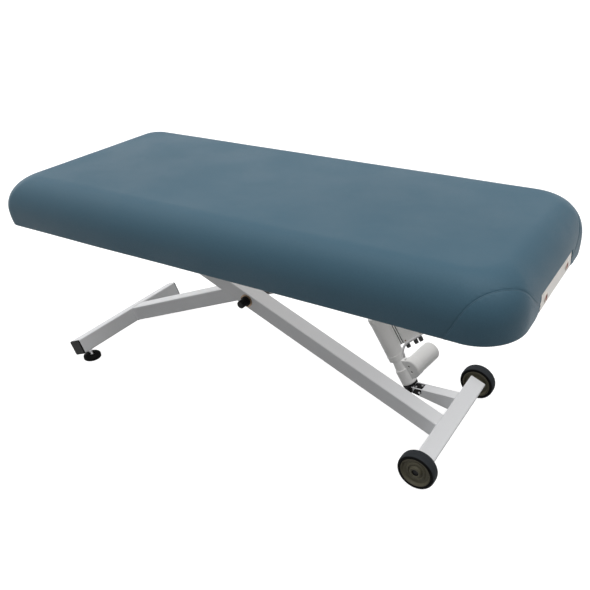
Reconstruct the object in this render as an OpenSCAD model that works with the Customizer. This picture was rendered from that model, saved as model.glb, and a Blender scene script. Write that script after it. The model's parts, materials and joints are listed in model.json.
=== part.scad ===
// Electric lift massage table: an upholstered top on crossed beams with feet, wheels and a linear actuator.
// +X points to the head end and the wheels, -Y to the near side, +Z up. The floor is z = 0.

/* [Top] */
// Length of the upholstered top
top_len = 1854; // [1750:1:1950]
// Width of the upholstered top
top_w = 762; // [700:1:820]
// Thickness of the top, from the skirt's lower edge to the crown
top_thick = 173; // [160:1:190]
// Height of the rounded shoulder, from the widest line to the crown
shoulder_h = 120; // [90:1:130]
// How far the rounded shoulder runs in from the side
shoulder_w = 90; // [60:1:110]
// How far the side draws in at its lower edge
side_draw = 4; // [2:0.5:10]
// Rise of the crown over the shoulder's inner end
crown_rise = 5; // [2:0.5:8]
// Corner radius at the foot end
foot_corner_r = 34; // [20:1:60]
// Corner radius at the head end
head_corner_r = 144; // [110:1:170]

/* [Top frame] */
// Thickness of the padded skirt outside the wooden rails
skirt_wall = 35; // [28:1:45]
// Width of the lip that turns under the rails
lip_w = 16; // [10:1:20]
// Thickness of that lip
lip_t = 2; // [1:0.5:4]
// Height of the wooden rails
rail_h = 64; // [58:1:68]
// Thickness of the wooden rails
rail_t = 22; // [18:1:28]
// Thickness of the deck board
deck_t = 12; // [9:1:18]
// Width of the steel rails under the deck
steel_rail_w = 40; // [30:1:50]
// Height of the steel rails under the deck
steel_rail_h = 25; // [20:1:30]
// Wall of the steel rails
steel_rail_wall = 2; // [1.5:0.5:3]
// Distance from the middle to the inner face of a steel rail
steel_rail_y = 190; // [180:1:240]
// Thickness of a hinge plate
hinge_plate_t = 6; // [4:0.5:10]
// Width of a hinge plate
hinge_plate_w = 70; // [50:1:90]

/* [Head plate] */
// Width of the wooden head plate
plate_w = 310; // [280:1:350]
// Height of the wooden head plate
plate_h = 51; // [44:1:54]
// Height of the plate's lower edge over the skirt's lower edge
plate_rise = 6; // [3:0.5:9]
// Height of the headrest sockets over the plate's lower edge
socket_rise = 19; // [16:1:30]
// Radius of the head plate's corners
plate_r = 8; // [4:1:20]
// Depth of its face inside the padded end
plate_sink = 3; // [1:0.5:8]
// Distance between the two headrest sockets
socket_gap = 210; // [180:1:230]
// Bore radius of a headrest socket
socket_r = 9.7; // [9.6:0.1:13]
// Wall of a headrest socket
socket_wall = 1.5; // [1:0.1:2.5]
// Depth of a headrest socket
socket_depth = 130; // [80:1:160]
// Width of the rim round a socket
rim_w = 4.5; // [3:0.5:6]
// Thickness of the rim round a socket
rim_t = 2; // [1:0.5:3]

/* [Beams] */
// Width of the square tubes
tube = 60; // [50:1:65]
// Wall of the square tubes
tube_wall = 3; // [2:0.5:4]
// Outer corner radius of the square tubes
tube_r = 5; // [4.5:0.5:8]
// Distance from the centre pivot to the lower bars
arm_low = 819; // [790:1:820]
// Distance from the top's foot end to the near beam's upper hinge
pin_in = 115.4; // [105:0.1:130]
// Shortening of the far beam's upper arm, so that its rollers stay level
arm_up_less = 7.8; // [7:0.1:9]
// Angle of the beams to the floor at rest
lift_angle = 22.8; // [22:0.1:23.5]
// Place of the centre pivot along the top
pivot_x = -134; // [-134:1:-110]
// Distance from the middle to the near beam's centre
near_off = 50; // [47:1:55]
// Distance from the middle to the far beam's centre
far_off = 56; // [50:1:60]
// Half length of the wheel bar
wheel_bar_half_len = 229; // [215:1:240]
// Half length of the foot bar
foot_bar_half_len = 272; // [250:1:300]
// How far the foot bar's middle lies to the far side of the part's middle
foot_bar_shift = 14; // [0:1:20]
// Half length of the upper bars
upper_bar_half_len = 178; // [160:1:186]
// Height of the upper hinge above the skirt's lower edge
pin_rise = 20; // [16:0.5:24]

/* [Pivots] */
// Radius of the centre pivot bolt
pivot_r = 10; // [8:0.5:12]
// Outer radius of the welded pivot sleeves
sleeve_r = 17; // [15:0.5:20]
// Radius of the pivot cap's flange
cap_flange_r = 18.5; // [17:0.5:22]
// Thickness of the pivot cap's flange
cap_flange_t = 8; // [6:0.5:10]
// Radius of the pivot cap's knob
cap_r = 14.5; // [13:0.5:16]
// Length of the pivot cap's knob
cap_len = 26; // [20:1:30]
// Radius of the upper hinge pins and of the roller axles
pin_r = 8; // [6:0.5:9]
// Radial clearance of a running fit
run_fit = 0.05; // [0.02:0.01:0.09]
// Gap between parts that seat on each other
seat = 0.3; // [0.2:0.05:0.4]
// Radius of a roller
roller_r = 20; // [16:0.5:20]
// Width of a roller
roller_w = 22; // [16:1:24]
// Thickness of the roller track
track_t = 4; // [3:0.5:5]
// Running room under a roller in its track
track_room = 2.4; // [1.5:0.1:4]

/* [Wheels] */
// Outer radius of a wheel
wheel_r = 63.5; // [60:0.5:68]
// Width of a wheel
wheel_w = 40; // [28:1:44]
// Radius of the hub inside the tyre
hub_r = 51; // [45:0.5:54]
// Radius of the axle bolts
axle_r = 6; // [5:0.5:8]
// Width of the spacer between the bar and the hub
axle_gap = 6; // [4:0.5:10]
// Rounding of the tyre's shoulders
tyre_round = 6; // [3:0.5:8]

/* [Feet] */
// Radius of a foot pad
pad_r = 34; // [28:1:40]
// Height of a foot pad
pad_h = 19; // [18:0.5:22]
// Height of the ball in a foot pad over the floor
ball_z = 14; // [13.5:0.5:15]
// Radius of the ball
ball_r = 7; // [6:0.5:8]
// Radius of the levelling stud
stud_r = 5; // [4:0.5:5.5]
// Distance from the foot bar's end to a stud
stud_in = 40; // [35:1:60]

/* [Actuator] */
// Distance from the middle to the actuator's centre line
act_y = 96; // [94:1:100]
// Distance from the centre pivot to the actuator's lower pin, along the near beam
act_low_x = 638; // [630:1:645]
// Depth of the actuator's lower pin under the near beam's centre line
act_low_z = 55; // [50:1:58]
// Distance from the centre pivot to the rod's upper pin, along the far beam
act_up_x = 351; // [345:1:360]
// Depth of the rod's upper pin under the far beam's centre line
act_up_z = 4; // [2:0.5:6]
// Width of the arm that carries the actuator
arm_w = 40; // [38:1:46]
// Radius of the actuator's outer tube
act_tube_r = 30.5; // [28:0.5:32]
// Distance from the lower pin to the gearbox's lower end
gearbox_from = 17; // [16:0.5:20]
// Radius of the gearbox round the spindle
gearbox_r = 28; // [26:0.5:30]
// Distance from the lower pin to the gearbox's neck
neck_from = 77; // [74:1:80]
// Distance from the lower pin to the tube's collar
collar_from = 116; // [114:1:120]
// Length of the collar
collar_len = 21; // [16:1:24]
// Distance from the lower pin to the tube's end cap
cap_from = 270; // [266:1:276]
// Length of the end cap
end_cap_len = 26; // [18:1:28]
// Radius of the rod
rod_r = 10; // [9:0.5:11]
// Radius of the actuator's pins
act_pin_r = 5; // [4:0.5:6]
// Radius of the motor
motor_r = 35; // [32:0.5:36]
// Radius of the round gear cover at the motor's near end
cover_r = 36.5; // [36.5:0.5:40]
// Distance of the motor's axle from the spindle
motor_off = 43; // [40:1:46]
// Distance from the lower pin to the motor's axle
motor_up = 71; // [68:1:74]
// Reach of the gear cover in front of the spindle
cover_front = 16; // [14:1:20]
// Reach of the motor behind the spindle
motor_len = 119; // [110:1:125]
// Turn of the motor about the spindle
motor_turn = 78; // [74:1:82]
// Width of the control box
box_w = 82; // [76:1:88]
// Length of the control box
box_len = 105; // [95:1:110]
// Depth of the control box
box_d = 36; // [30:1:40]
// Distance from the lower pin to the control box
box_from = 156; // [152:1:160]
// Turn of the control box about the spindle
box_turn = 37; // [33:1:41]

/* [Hidden] */
$fn = 64;

// One overrun for all cuts, and a quarter turn
over = 1;
quarter = 90;
// Sides of the top and of the pocket for its frame
half_len = top_len / 2;
half_w = top_w / 2;
// Arc steps in each corner of the upholstery and in its shoulder
corner_steps = 9;
shoulder_steps = 8;
side_steps = 3;
// Crown rings: how far in, as shares of the half width, and how high, as shares of the crown's rise
crown_in_shares = [0.42, 0.62, 0.82];
crown_up_shares = [0.55, 0.85, 0.97];
// Smallest corner radius of the inner rings
corner_least = 0.8;

// The near beam's upper hinge, and the length of the arms up to it and to the rollers
pin_x = pin_in - half_len;
arm_up = (pivot_x - pin_x) / cos(lift_angle);
arm_up_far = arm_up - arm_up_less;

// Heights, from the floor up
pivot_z = wheel_r + arm_low * sin(lift_angle);
pin_z = pivot_z + arm_up * sin(lift_angle);
skirt_z = pin_z - pin_rise;
rail_z = skirt_z + lip_t + seat;
deck_z = rail_z + rail_h + seat;
pocket_z = deck_z + deck_t + seat;
widest_z = skirt_z + top_thick - shoulder_h;
steel_rail_z = deck_z - steel_rail_h;

// The pocket inside the skirt, and the radius of what fits its head corners
pocket_half_len = half_len - skirt_wall - seat;
pocket_half_w = half_w - skirt_wall - seat;
pocket_head_r = head_corner_r - skirt_wall - seat;

// Places along the top
roller_x = pivot_x + arm_up_far * cos(lift_angle);
roller_z = pivot_z + arm_up_far * sin(lift_angle);
track_travel_back = 50;
track_travel_on = 104;
steel_rail_clear = 2;
steel_rail_r = 3;
steel_rail_from = -pocket_half_len + rail_t + steel_rail_clear;
steel_rail_end = roller_x + track_travel_on + steel_rail_w;
cross_from_pin = 170;
cross_from_roller = 130;
steel_cross_xs = [pin_x + cross_from_pin, roller_x - cross_from_roller];
beam_near_y = -near_off;
beam_far_y = far_off;

// Roller track: its flanges, and the face that rests on the rollers
track_play = 0.6;
track_top_z = roller_z + roller_r + track_play + track_t;
track_low_z = roller_z - roller_r - track_room - track_t;
track_gap = 3;
roller_step = 14;
roller_in_y = upper_bar_half_len + roller_step;
track_web_y = roller_in_y + roller_w + track_gap;
axle_shoulder = 4;
clip_reach = 3;
clip_t = 1.5;

// Hinge plates stand outside the upper bar's ends
hinge_gap = 14;
hinge_plate_y = upper_bar_half_len + hinge_gap;
hinge_bush_len = 40;
hinge_pin_in = 36;
hinge_flange_r = 17;
hinge_play = 0.5;
hinge_head_r = 13;
hinge_head_t = 7;

// Sockets of the headrest
plate_z = skirt_z + plate_rise;
socket_z = plate_z + socket_rise;
plate_face_x = half_len - plate_sink;
plate_back_x = half_len - skirt_wall;

// Weldments
axle_plug_len = 45;
axle_head_r = 8;
axle_head_t = 5;
axle_recess_r = 10;
axle_recess = 10;
plug_t = 3.5;
plug_step = 1.5;
plug_in = 18;
plug_gap = 0.3;
plug_w = tube - 2 * tube_wall - 2 * plug_gap;
bush_wall = 4;
washer_t = 2.5;
washer_r = 24;
spacer_r = 27;
nut_r = 13;
nut_t = 10;
weld_proud = 1;

// Feet: the stud is square to the foot bar's underside, and its ball lies in the pad
stud_len = (wheel_r - ball_z) / cos(lift_angle);
pad_edge_h = 7;
pad_neck_r = 15;
pad_mouth_r = 11;
pad_round = 3;
lock_nut_r = 9.5;
lock_nut_t = 7;
insert_r = 12;
insert_t = 12;

// Actuator: the line from its lower pin to its upper pin
act_low = [pivot_x + act_low_x * cos(lift_angle) - act_low_z * sin(lift_angle),
    pivot_z - act_low_x * sin(lift_angle) - act_low_z * cos(lift_angle)];
act_up = [pivot_x + act_up_x * cos(lift_angle) + act_up_z * sin(lift_angle),
    pivot_z + act_up_x * sin(lift_angle) - act_up_z * cos(lift_angle)];
act_len = norm(act_up - act_low);
act_tilt = atan2(act_up[0] - act_low[0], act_up[1] - act_low[1]);
arm_wall = 4;
arm_tip_r = 10;
arm_plate_gap = 38;
fork_play = 0.6;
fork_t = 6;
fork_r = 13;
fork_gap = 1.5;
fork_w = arm_w + 2 * (fork_play + fork_t);
neck_step = 3;
neck_r = gearbox_r - neck_step;
gearbox_round = 5;
cover_len = 34;
cover_bevel = 3;
cover_hole_r = 4.5;
cover_hole_deep = 5;
cover_hole_gap = 23;
motor_dome = 10;
collar_bead = 1.5;
tube_wall_t = 4;
cap_over = 1.5;
cap_screw_r = 3.5;
cap_screw_h = 1.5;
rod_play = 0.5;
rod_in = 116;
rod_from = collar_from + collar_len + rod_in;
rod_bore_r = 7;
spindle_r = 6;
spindle_end = cap_from + end_cap_len / 2;
tongue_w = 11;
tongue_len = 30;
eye_r = 14;
lug_play = 0.5;
lug_t = 4;
lug_r = 18;
slot_reach = 6.5;
slot_room = 2.8;
lug_top = 24;
pin_head_r = 8;
pin_head_t = 4;

// Control box: its face, where its mount starts, and what hangs from it
box_face = 9;
box_start = 46;
box_seam = 1.2;
box_round = 4.5;
mount_gap = 2;
mount_start = act_tube_r + mount_gap;
mount_d = 24;
plug_r = 7.5;
plug_len = 24;
plug_rib = 1;
plug_ribs = 4;
plug_back = 18;
plug_at_shares = [0.11, 0.49, 0.72];

// Lead of the motor: its size, the gland that it leaves by, and its end on the control box
lead_r = 3;
lead_bead = 0.15;
lead_sides = 10;
gland_side = 25;
gland_front = 26;
gland_wall = 2;
gland_h = 5;
gland_z = motor_up + cover_r + gland_h;
lead_end_side = 112;
lead_end_h = 4;
// Its way between the two, as shares of the distance along the box, towards it and up
lead_along_shares = [0, 0.017, 0.07, 0.17, 0.31, 0.52, 0.77, 1];
lead_back_shares = [0, 0.11, 0.37, 0.74, 1, 1, 1, 1];
lead_up_shares = [0, 0.32, 0.57, 0.76, 0.875, 0.93, 0.966, 1];

// A rectangle with rounded corners, from plain shapes so that its arcs stay true
module round_rect(w, h, r) {
    square([w - 2 * r, h], center = true);
    square([w, h - 2 * r], center = true);
    for (x = [-1, 1], y = [-1, 1]) translate([x * (w / 2 - r), y * (h / 2 - r)]) circle(r);
}

// Section of the square tube
module tube_section() {
    difference() {
        round_rect(tube, tube, tube_r);
        round_rect(tube - 2 * tube_wall, tube - 2 * tube_wall, tube_r - tube_wall);
    }
}

// A square tube along X from 0 to l
module tube_x(l) {
    rotate([90, 0, 90]) linear_extrude(l) tube_section();
}

// A square tube along Y, centred
module tube_y(half) {
    rotate([90, 0, 0]) linear_extrude(2 * half, center = true) tube_section();
}

// A cylinder along Y from y0 to y1
module rod_y(r, y0, y1) {
    translate([0, y1, 0]) rotate([90, 0, 0]) cylinder(h = y1 - y0, r = r);
}

// A regular prism along Y from y0 to y1, as on a nut or a bolt head
module hex_y(r, y0, y1) {
    translate([0, y1, 0]) rotate([90, 0, 0]) cylinder(h = y1 - y0, r = r, $fn = 6);
}

// Frames of the near beam, which falls to the wheels, and of the far beam, which rises to the head end
module on_near_beam() {
    translate([pivot_x, 0, pivot_z]) rotate([0, lift_angle, 0]) children();
}

module on_far_beam() {
    translate([pivot_x, 0, pivot_z]) rotate([0, -lift_angle, 0]) children();
}

// Frame of the actuator: Z runs up its centre line, X lies square to it towards the head end
module on_actuator() {
    translate([act_low[0], act_y, act_low[1]]) rotate([0, act_tilt, 0]) children();
}

// One ring of the upholstery: a rounded rectangle, drawn in by an inset, at a height
function ring(inset, z) = [for (c = [[1, 1, head_corner_r, 0], [-1, 1, foot_corner_r, 1],
        [-1, -1, foot_corner_r, 2], [1, -1, head_corner_r, 3]])
    let (r = max(c[2] - inset, corner_least))
    for (i = [0:corner_steps]) let (t = quarter * (c[3] + i / corner_steps))
        [c[0] * (half_len - inset - r) + r * cos(t), c[1] * (half_w - inset - r) + r * sin(t), z]];

crown_z = skirt_z + top_thick;
shoulder_top_z = crown_z - crown_rise;
upholstery_rings = concat(
    [ring(skirt_wall, pocket_z), ring(skirt_wall, skirt_z + lip_t),
        ring(skirt_wall + lip_w, skirt_z + lip_t), ring(skirt_wall + lip_w, skirt_z)],
    [for (i = [0:side_steps - 1]) let (t = 1 - i / side_steps)
        ring(side_draw * t * t, skirt_z + (widest_z - skirt_z) * (1 - t))],
    [for (i = [0:shoulder_steps]) let (t = quarter * i / shoulder_steps)
        ring(shoulder_w * (1 - cos(t)), widest_z + (shoulder_top_z - widest_z) * sin(t))],
    [for (i = [0:len(crown_in_shares) - 1])
        ring(shoulder_w + (half_w - shoulder_w) * crown_in_shares[i],
            shoulder_top_z + crown_rise * crown_up_shares[i])]);

// The padded, upholstered top: crowned, with a drawn-in side, and hollow below for its frame
module upholstery() {
    n = 4 * (corner_steps + 1);
    rows = len(upholstery_rings);
    points = concat([for (r = upholstery_rings) each r], [[0, 0, pocket_z], [0, 0, crown_z]]);
    color([0.27, 0.40, 0.47]) difference() {
        polyhedron(points, concat(
            [for (j = [0:n - 1]) [j, (j + 1) % n, rows * n]],
            [for (k = [0:rows - 2]) for (j = [0:n - 1]) let (a = k * n + j, b = k * n + (j + 1) % n)
                each [[a, a + n, b], [b, a + n, b + n]]],
            [for (j = [0:n - 1]) let (a = (rows - 1) * n + j, b = (rows - 1) * n + (j + 1) % n)
                [b, a, rows * n + 1]]));
        plate_slot();
    }
}

// The slot in the padded head end that the head plate sits in
module plate_slot() {
    slot_w = plate_w + 2 * seat;
    slot_h = plate_h + 2 * seat;
    translate([plate_back_x - over, 0, plate_z + plate_h / 2]) rotate([90, 0, 90])
        linear_extrude(skirt_wall + 2 * over) round_rect(slot_w, slot_h, plate_r + seat);
}

// Deck board, which follows the pocket's corners
module deck_board() {
    color("burlywood") translate([0, 0, deck_z]) linear_extrude(deck_t)
        polygon([for (p = ring(skirt_wall + seat, 0)) [p[0], p[1]]]);
}

// A side rail, on the side given by its sign
module side_rail(side) {
    y = side < 0 ? -pocket_half_w : pocket_half_w - rail_t;
    color("tan") translate([-pocket_half_len, y, rail_z])
        cube([2 * pocket_half_len - pocket_head_r, rail_t, rail_h]);
}

module side_rail_near() { side_rail(-1); }
module side_rail_far() { side_rail(1); }

module foot_end_rail() {
    color("tan") translate([-pocket_half_len, -pocket_half_w + rail_t + seat, rail_z])
        cube([rail_t, 2 * (pocket_half_w - rail_t - seat), rail_h]);
}

// The head rail carries the sockets, so it is drilled for them
module head_end_rail() {
    half = pocket_half_w - pocket_head_r;
    color("tan") difference() {
        translate([pocket_half_len - rail_t, -half, rail_z]) cube([rail_t, 2 * half, rail_h]);
        for (y = [-1, 1]) translate([pocket_half_len - rail_t - over, y * socket_gap / 2, socket_z])
            rotate([0, 90, 0]) cylinder(h = rail_t + 2 * over, r = socket_r + socket_wall + seat);
    }
}

// Braces across the head corners, between the side rails and the head rail
module corner_braces() {
    a = pocket_half_len;
    b = pocket_half_w;
    r = pocket_head_r;
    color("tan") for (side = [-1, 1]) translate([0, 0, rail_z]) linear_extrude(rail_h)
        polygon([[a - r + seat, side * b], [a, side * (b - r + seat)], [a - rail_t, side * (b - r + seat)],
            [a - r + seat, side * (b - rail_t)]]);
}

// Wooden plate in the padded head end, bored for the two sockets
module head_plate() {
    color([0.87, 0.80, 0.72]) difference() {
        translate([plate_back_x, 0, plate_z + plate_h / 2]) rotate([90, 0, 90])
            linear_extrude(plate_face_x - plate_back_x) round_rect(plate_w, plate_h, plate_r);
        for (y = [-1, 1]) translate([plate_back_x - over, y * socket_gap / 2, socket_z]) rotate([0, 90, 0])
            cylinder(h = skirt_wall + 2 * over, r = socket_r + socket_wall + seat);
    }
}

// A blind steel socket for one rod of a headrest
module socket(side) {
    floor_t = socket_wall * 2;
    color("silver") translate([plate_face_x, side * socket_gap / 2, socket_z]) rotate([0, -90, 0])
        difference() {
            cylinder(h = socket_depth + floor_t, r = socket_r + socket_wall);
            translate([0, 0, -over]) cylinder(h = socket_depth + over, r = socket_r);
        }
}

module socket_near() { socket(-1); }
module socket_far() { socket(1); }

// Reddish rims round the mouths of the sockets
module socket_rims() {
    color([0.50, 0.33, 0.30]) for (side = [-1, 1])
        translate([plate_face_x, side * socket_gap / 2, socket_z]) rotate([0, 90, 0]) rotate_extrude()
            translate([socket_r, 0]) polygon([[0, 0], [rim_w, 0], [rim_w, rim_t / 2],
                [rim_w - rim_t / 2, rim_t], [rim_t / 2, rim_t], [0, rim_t / 2]]);
}

// The hollow of the flat steel tubes
module steel_rail_bore() {
    square([steel_rail_w - 2 * steel_rail_wall, steel_rail_h - 2 * steel_rail_wall], center = true);
}

// A steel rail under the deck: a flat tube that carries a hinge plate and a track
module steel_rail(side) {
    y = side * (steel_rail_y + steel_rail_w / 2);
    color("gainsboro") translate([steel_rail_from, y, steel_rail_z + steel_rail_h / 2]) rotate([90, 0, 90])
        linear_extrude(steel_rail_end - steel_rail_from) difference() {
            round_rect(steel_rail_w, steel_rail_h, steel_rail_r);
            steel_rail_bore();
        }
}

module steel_rail_near() { steel_rail(-1); }
module steel_rail_far() { steel_rail(1); }

// Cross tubes between the steel rails
module steel_crosses() {
    color("gainsboro") for (x = steel_cross_xs)
        translate([x, 0, steel_rail_z + steel_rail_h / 2]) rotate([90, 0, 0])
            linear_extrude(2 * steel_rail_y, center = true) difference() {
                square([steel_rail_w, steel_rail_h], center = true);
                steel_rail_bore();
            }
}

// A hinge plate hangs from a steel rail beside the upper bar's end and holds the hinge pin
module hinge_plate(side) {
    y0 = side < 0 ? -hinge_plate_y - hinge_plate_t : hinge_plate_y;
    drop = steel_rail_z - pin_z;
    tip_r = drop - seat;
    color("gainsboro") difference() {
        translate([pin_x, y0 + hinge_plate_t, pin_z]) rotate([90, 0, 0]) linear_extrude(hinge_plate_t) {
            circle(tip_r);
            polygon([[-tip_r, 0], [tip_r, 0], [hinge_plate_w / 2, drop], [-hinge_plate_w / 2, drop]]);
        }
        translate([pin_x, 0, pin_z]) rod_y(pin_r, y0 - over, y0 + hinge_plate_t + over);
    }
}

module hinge_plate_near() { hinge_plate(-1); }
module hinge_plate_far() { hinge_plate(1); }

// Headed pins that are fixed in the hinge plates and run in the upper bar's bushes
module hinge_pins() {
    color("dimgray") for (side = [0, 1]) mirror([0, side, 0]) translate([pin_x, 0, pin_z]) {
        rod_y(pin_r, upper_bar_half_len - hinge_pin_in, hinge_plate_y + hinge_plate_t + seat);
        rod_y(hinge_head_r, hinge_plate_y + hinge_plate_t, hinge_plate_y + hinge_plate_t + hinge_head_t);
    }
}

// A channel that opens towards the middle, with the roller between its flanges
module roller_track(side) {
    y_in = roller_in_y - track_gap;
    back = side < 0 ? 1 : 0;
    x0 = roller_x - track_travel_back;
    color("gainsboro") mirror([0, back, 0]) translate([x0, 0, 0]) rotate([90, 0, 90])
        linear_extrude(track_travel_back + track_travel_on) {
            translate([y_in, track_top_z - track_t]) square([track_web_y + track_t - y_in, track_t]);
            translate([y_in, track_low_z]) square([track_web_y + track_t - y_in, track_t]);
            translate([track_web_y, track_low_z]) square([track_t, steel_rail_z - track_low_z]);
        }
}

module roller_track_near() { roller_track(-1); }
module roller_track_far() { roller_track(1); }

// A beam: a square tube between a lower and an upper bar, with a welded sleeve at the centre pivot
module beam(y, low, up, bore) {
    translate([0, y, 0]) difference() {
        union() {
            translate([-up, 0, 0]) tube_x(up + low);
            rod_y(sleeve_r, -tube / 2 - weld_proud, tube / 2 + weld_proud);
        }
        rod_y(bore, -tube, tube);
    }
}

module near_beam() {
    color("lightgray") on_near_beam()
        beam(beam_near_y, arm_low - tube / 2, arm_up - tube / 2, pivot_r + seat);
}

module far_beam() {
    color("lightgray") on_far_beam()
        beam(beam_far_y, arm_up_far - tube / 2, arm_low - tube / 2, pivot_r + bush_wall);
}

module near_beam_upper_bar() {
    color("lightgray") on_near_beam() translate([-arm_up, 0, 0]) tube_y(upper_bar_half_len);
}

module far_beam_upper_bar() {
    color("lightgray") on_far_beam() translate([arm_up_far, 0, 0]) tube_y(upper_bar_half_len);
}

// A block that fills the end of a square tube, bored along Y
module end_block(half, len, bore) {
    difference() {
        translate([0, half, 0]) rotate([90, 0, 0]) linear_extrude(len)
            round_rect(plug_w, plug_w, tube_r - tube_wall);
        rod_y(bore, half - len - over, half + over);
    }
}

// Blocks with bushes in the ends of the near beam's upper bar
module hinge_bushes() {
    color("peru") for (side = [0, 1]) mirror([0, side, 0]) on_near_beam() translate([-arm_up, 0, 0]) {
        end_block(upper_bar_half_len, hinge_bush_len, pin_r + run_fit);
        difference() {
            rod_y(hinge_flange_r, upper_bar_half_len, hinge_plate_y - hinge_play);
            rod_y(pin_r + run_fit, upper_bar_half_len - over, hinge_plate_y);
        }
    }
}

// Axles of the rollers, each in a block in the end of the far beam's upper bar, with a clip at its tip
module roller_axles() {
    tip = roller_in_y + roller_w + seat;
    color("dimgray") for (side = [0, 1]) mirror([0, side, 0]) on_far_beam() translate([arm_up_far, 0, 0]) {
        translate([0, upper_bar_half_len, 0]) rotate([90, 0, 0]) linear_extrude(hinge_bush_len)
            round_rect(plug_w, plug_w, tube_r - tube_wall);
        rod_y(pin_r + axle_shoulder, upper_bar_half_len, roller_in_y - seat);
        rod_y(pin_r, upper_bar_half_len, tip + clip_t);
        rod_y(pin_r + clip_reach, tip, tip + clip_t);
    }
}

// A plain roller with rounded shoulders
module roller(side) {
    round_share = 0.1;
    c = roller_r * round_share;
    color("whitesmoke") translate([roller_x, 0, roller_z]) mirror([0, side < 0 ? 1 : 0, 0])
        translate([0, roller_in_y, 0]) rotate([-90, 0, 0]) rotate_extrude()
            polygon([[pin_r + run_fit, 0], [roller_r - c, 0], [roller_r, c], [roller_r, roller_w - c],
                [roller_r - c, roller_w], [pin_r + run_fit, roller_w]]);
}

module roller_near() { roller(-1); }
module roller_far() { roller(1); }

module wheel_bar() {
    color("lightgray") on_near_beam() translate([arm_low, 0, 0]) tube_y(wheel_bar_half_len);
}

// Steel blocks in the wheel bar's ends, each with a shoulder towards the hub and a bore for the axle bolt
module wheel_bar_plugs() {
    color("gray") for (side = [0, 1]) mirror([0, side, 0]) on_near_beam() translate([arm_low, 0, 0])
        difference() {
            union() {
                end_block(wheel_bar_half_len, axle_plug_len, axle_r);
                rod_y(axle_r + axle_head_t, wheel_bar_half_len, wheel_bar_half_len + axle_gap - seat);
            }
            rod_y(axle_r, wheel_bar_half_len - over, wheel_bar_half_len + axle_gap + over);
        }
}

// Axle bolts: the shank from the block, and the head in the hub's recess
module axle_bolts() {
    y1 = wheel_bar_half_len + axle_gap + wheel_w - axle_recess + seat;
    color([0.1, 0.1, 0.1]) for (side = [0, 1]) mirror([0, side, 0]) on_near_beam()
        translate([arm_low, 0, 0]) {
            rod_y(axle_r, wheel_bar_half_len - axle_plug_len, y1);
            rod_y(axle_head_r, y1, y1 + axle_head_t);
        }
}

// Tyre: a rubber ring with rounded shoulders and a slightly crowned tread
module tyre(side) {
    w = wheel_w;
    c = tyre_round;
    color([0.13, 0.14, 0.15]) wheel_place(side) rotate_extrude() difference() {
        translate([hub_r, 0]) square([wheel_r - hub_r, w]);
        for (k = [0, 1]) translate([wheel_r - c, k * w + (1 - 2 * k) * c]) difference() {
            translate([0, k == 0 ? -c - over : 0]) square([c + over, c + over]);
            circle(c);
        }
    }
}

// Hub: a rim, a dished web with a ring on it, and a boss round the axle
module hub(side) {
    w = wheel_w;
    rim_share = 0.14;
    ring_share = 0.56;
    boss_share = 0.36;
    dish_share = 0.24;
    dish = w * dish_share;
    step = dish / 2;
    rim_in = hub_r * (1 - rim_share);
    ring_r = hub_r * ring_share;
    boss_r = hub_r * boss_share;
    bore = axle_r + run_fit;
    color([0.36, 0.34, 0.27]) wheel_place(side) rotate_extrude()
        polygon([[bore, 0], [boss_r, 0], [boss_r + step / 2, step], [ring_r, dish],
            [rim_in - step / 2, dish], [rim_in, 0], [hub_r - seat, 0], [hub_r - seat, w], [rim_in, w],
            [rim_in - step / 2, w - dish], [ring_r + step, w - dish], [ring_r, w - step],
            [boss_r + step, w - step], [boss_r, w],
            [axle_recess_r, w], [axle_recess_r, w - axle_recess], [bore, w - axle_recess]]);
}

// Frame of a wheel: Z points out along the axle from the hub's inner face
module wheel_place(side) {
    x = pivot_x + arm_low * cos(lift_angle);
    mirror([0, side < 0 ? 1 : 0, 0]) translate([x, wheel_bar_half_len + axle_gap, wheel_r])
        rotate([-90, 0, 0]) children();
}

module tyre_near() { tyre(-1); }
module tyre_far() { tyre(1); }
module hub_near() { hub(-1); }
module hub_far() { hub(1); }

// Centre pivot: the bolt with its nut runs from the near beam's cap to the far beam's other side
pivot_near_y = beam_near_y - tube / 2 - weld_proud;
pivot_far_y = beam_far_y + tube / 2 + weld_proud;
pivot_gap_near_y = beam_near_y + tube / 2 + weld_proud;
pivot_gap_far_y = beam_far_y - tube / 2 - weld_proud;

module pivot_bolt() {
    color("dimgray") on_near_beam() {
        rod_y(pivot_r, pivot_near_y - washer_t, pivot_far_y + washer_t + nut_t + washer_t);
        hex_y(nut_r, pivot_near_y - washer_t - nut_t, pivot_near_y - washer_t);
        hex_y(nut_r, pivot_far_y + washer_t, pivot_far_y + washer_t + nut_t);
    }
}

// A turned black cap over the bolt's head: a flange and a knob with a rounded edge
module pivot_cap() {
    knob_round = cap_r / 4;
    total = cap_flange_t + cap_len;
    cap_y = pivot_near_y - washer_t - seat;
    color([0.05, 0.05, 0.05]) on_near_beam() translate([0, cap_y, 0]) rotate([90, 0, 0])
        difference() {
            rotate_extrude() {
                square([cap_flange_r - cap_flange_t / 4, cap_flange_t]);
                square([cap_flange_r, cap_flange_t * 3 / 4]);
                square([cap_r - knob_round, total]);
                square([cap_r, total - knob_round]);
                translate([cap_r - knob_round, total - knob_round]) circle(knob_round);
            }
            translate([0, 0, -over]) cylinder(h = nut_t + seat + over, r = nut_r + seat);
        }
}

// A bronze ring round the bolt, from y0 to y1
module pivot_ring(r, y0, y1) {
    difference() {
        rod_y(r, y0, y1);
        rod_y(pivot_r + seat, y0 - over, y1 + over);
    }
}

// Washers under the cap and the nut
module pivot_washers() {
    color("peru") on_near_beam() {
        pivot_ring(washer_r, pivot_near_y - washer_t, pivot_near_y);
        pivot_ring(washer_r, pivot_far_y + seat, pivot_far_y + washer_t);
    }
}

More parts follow.
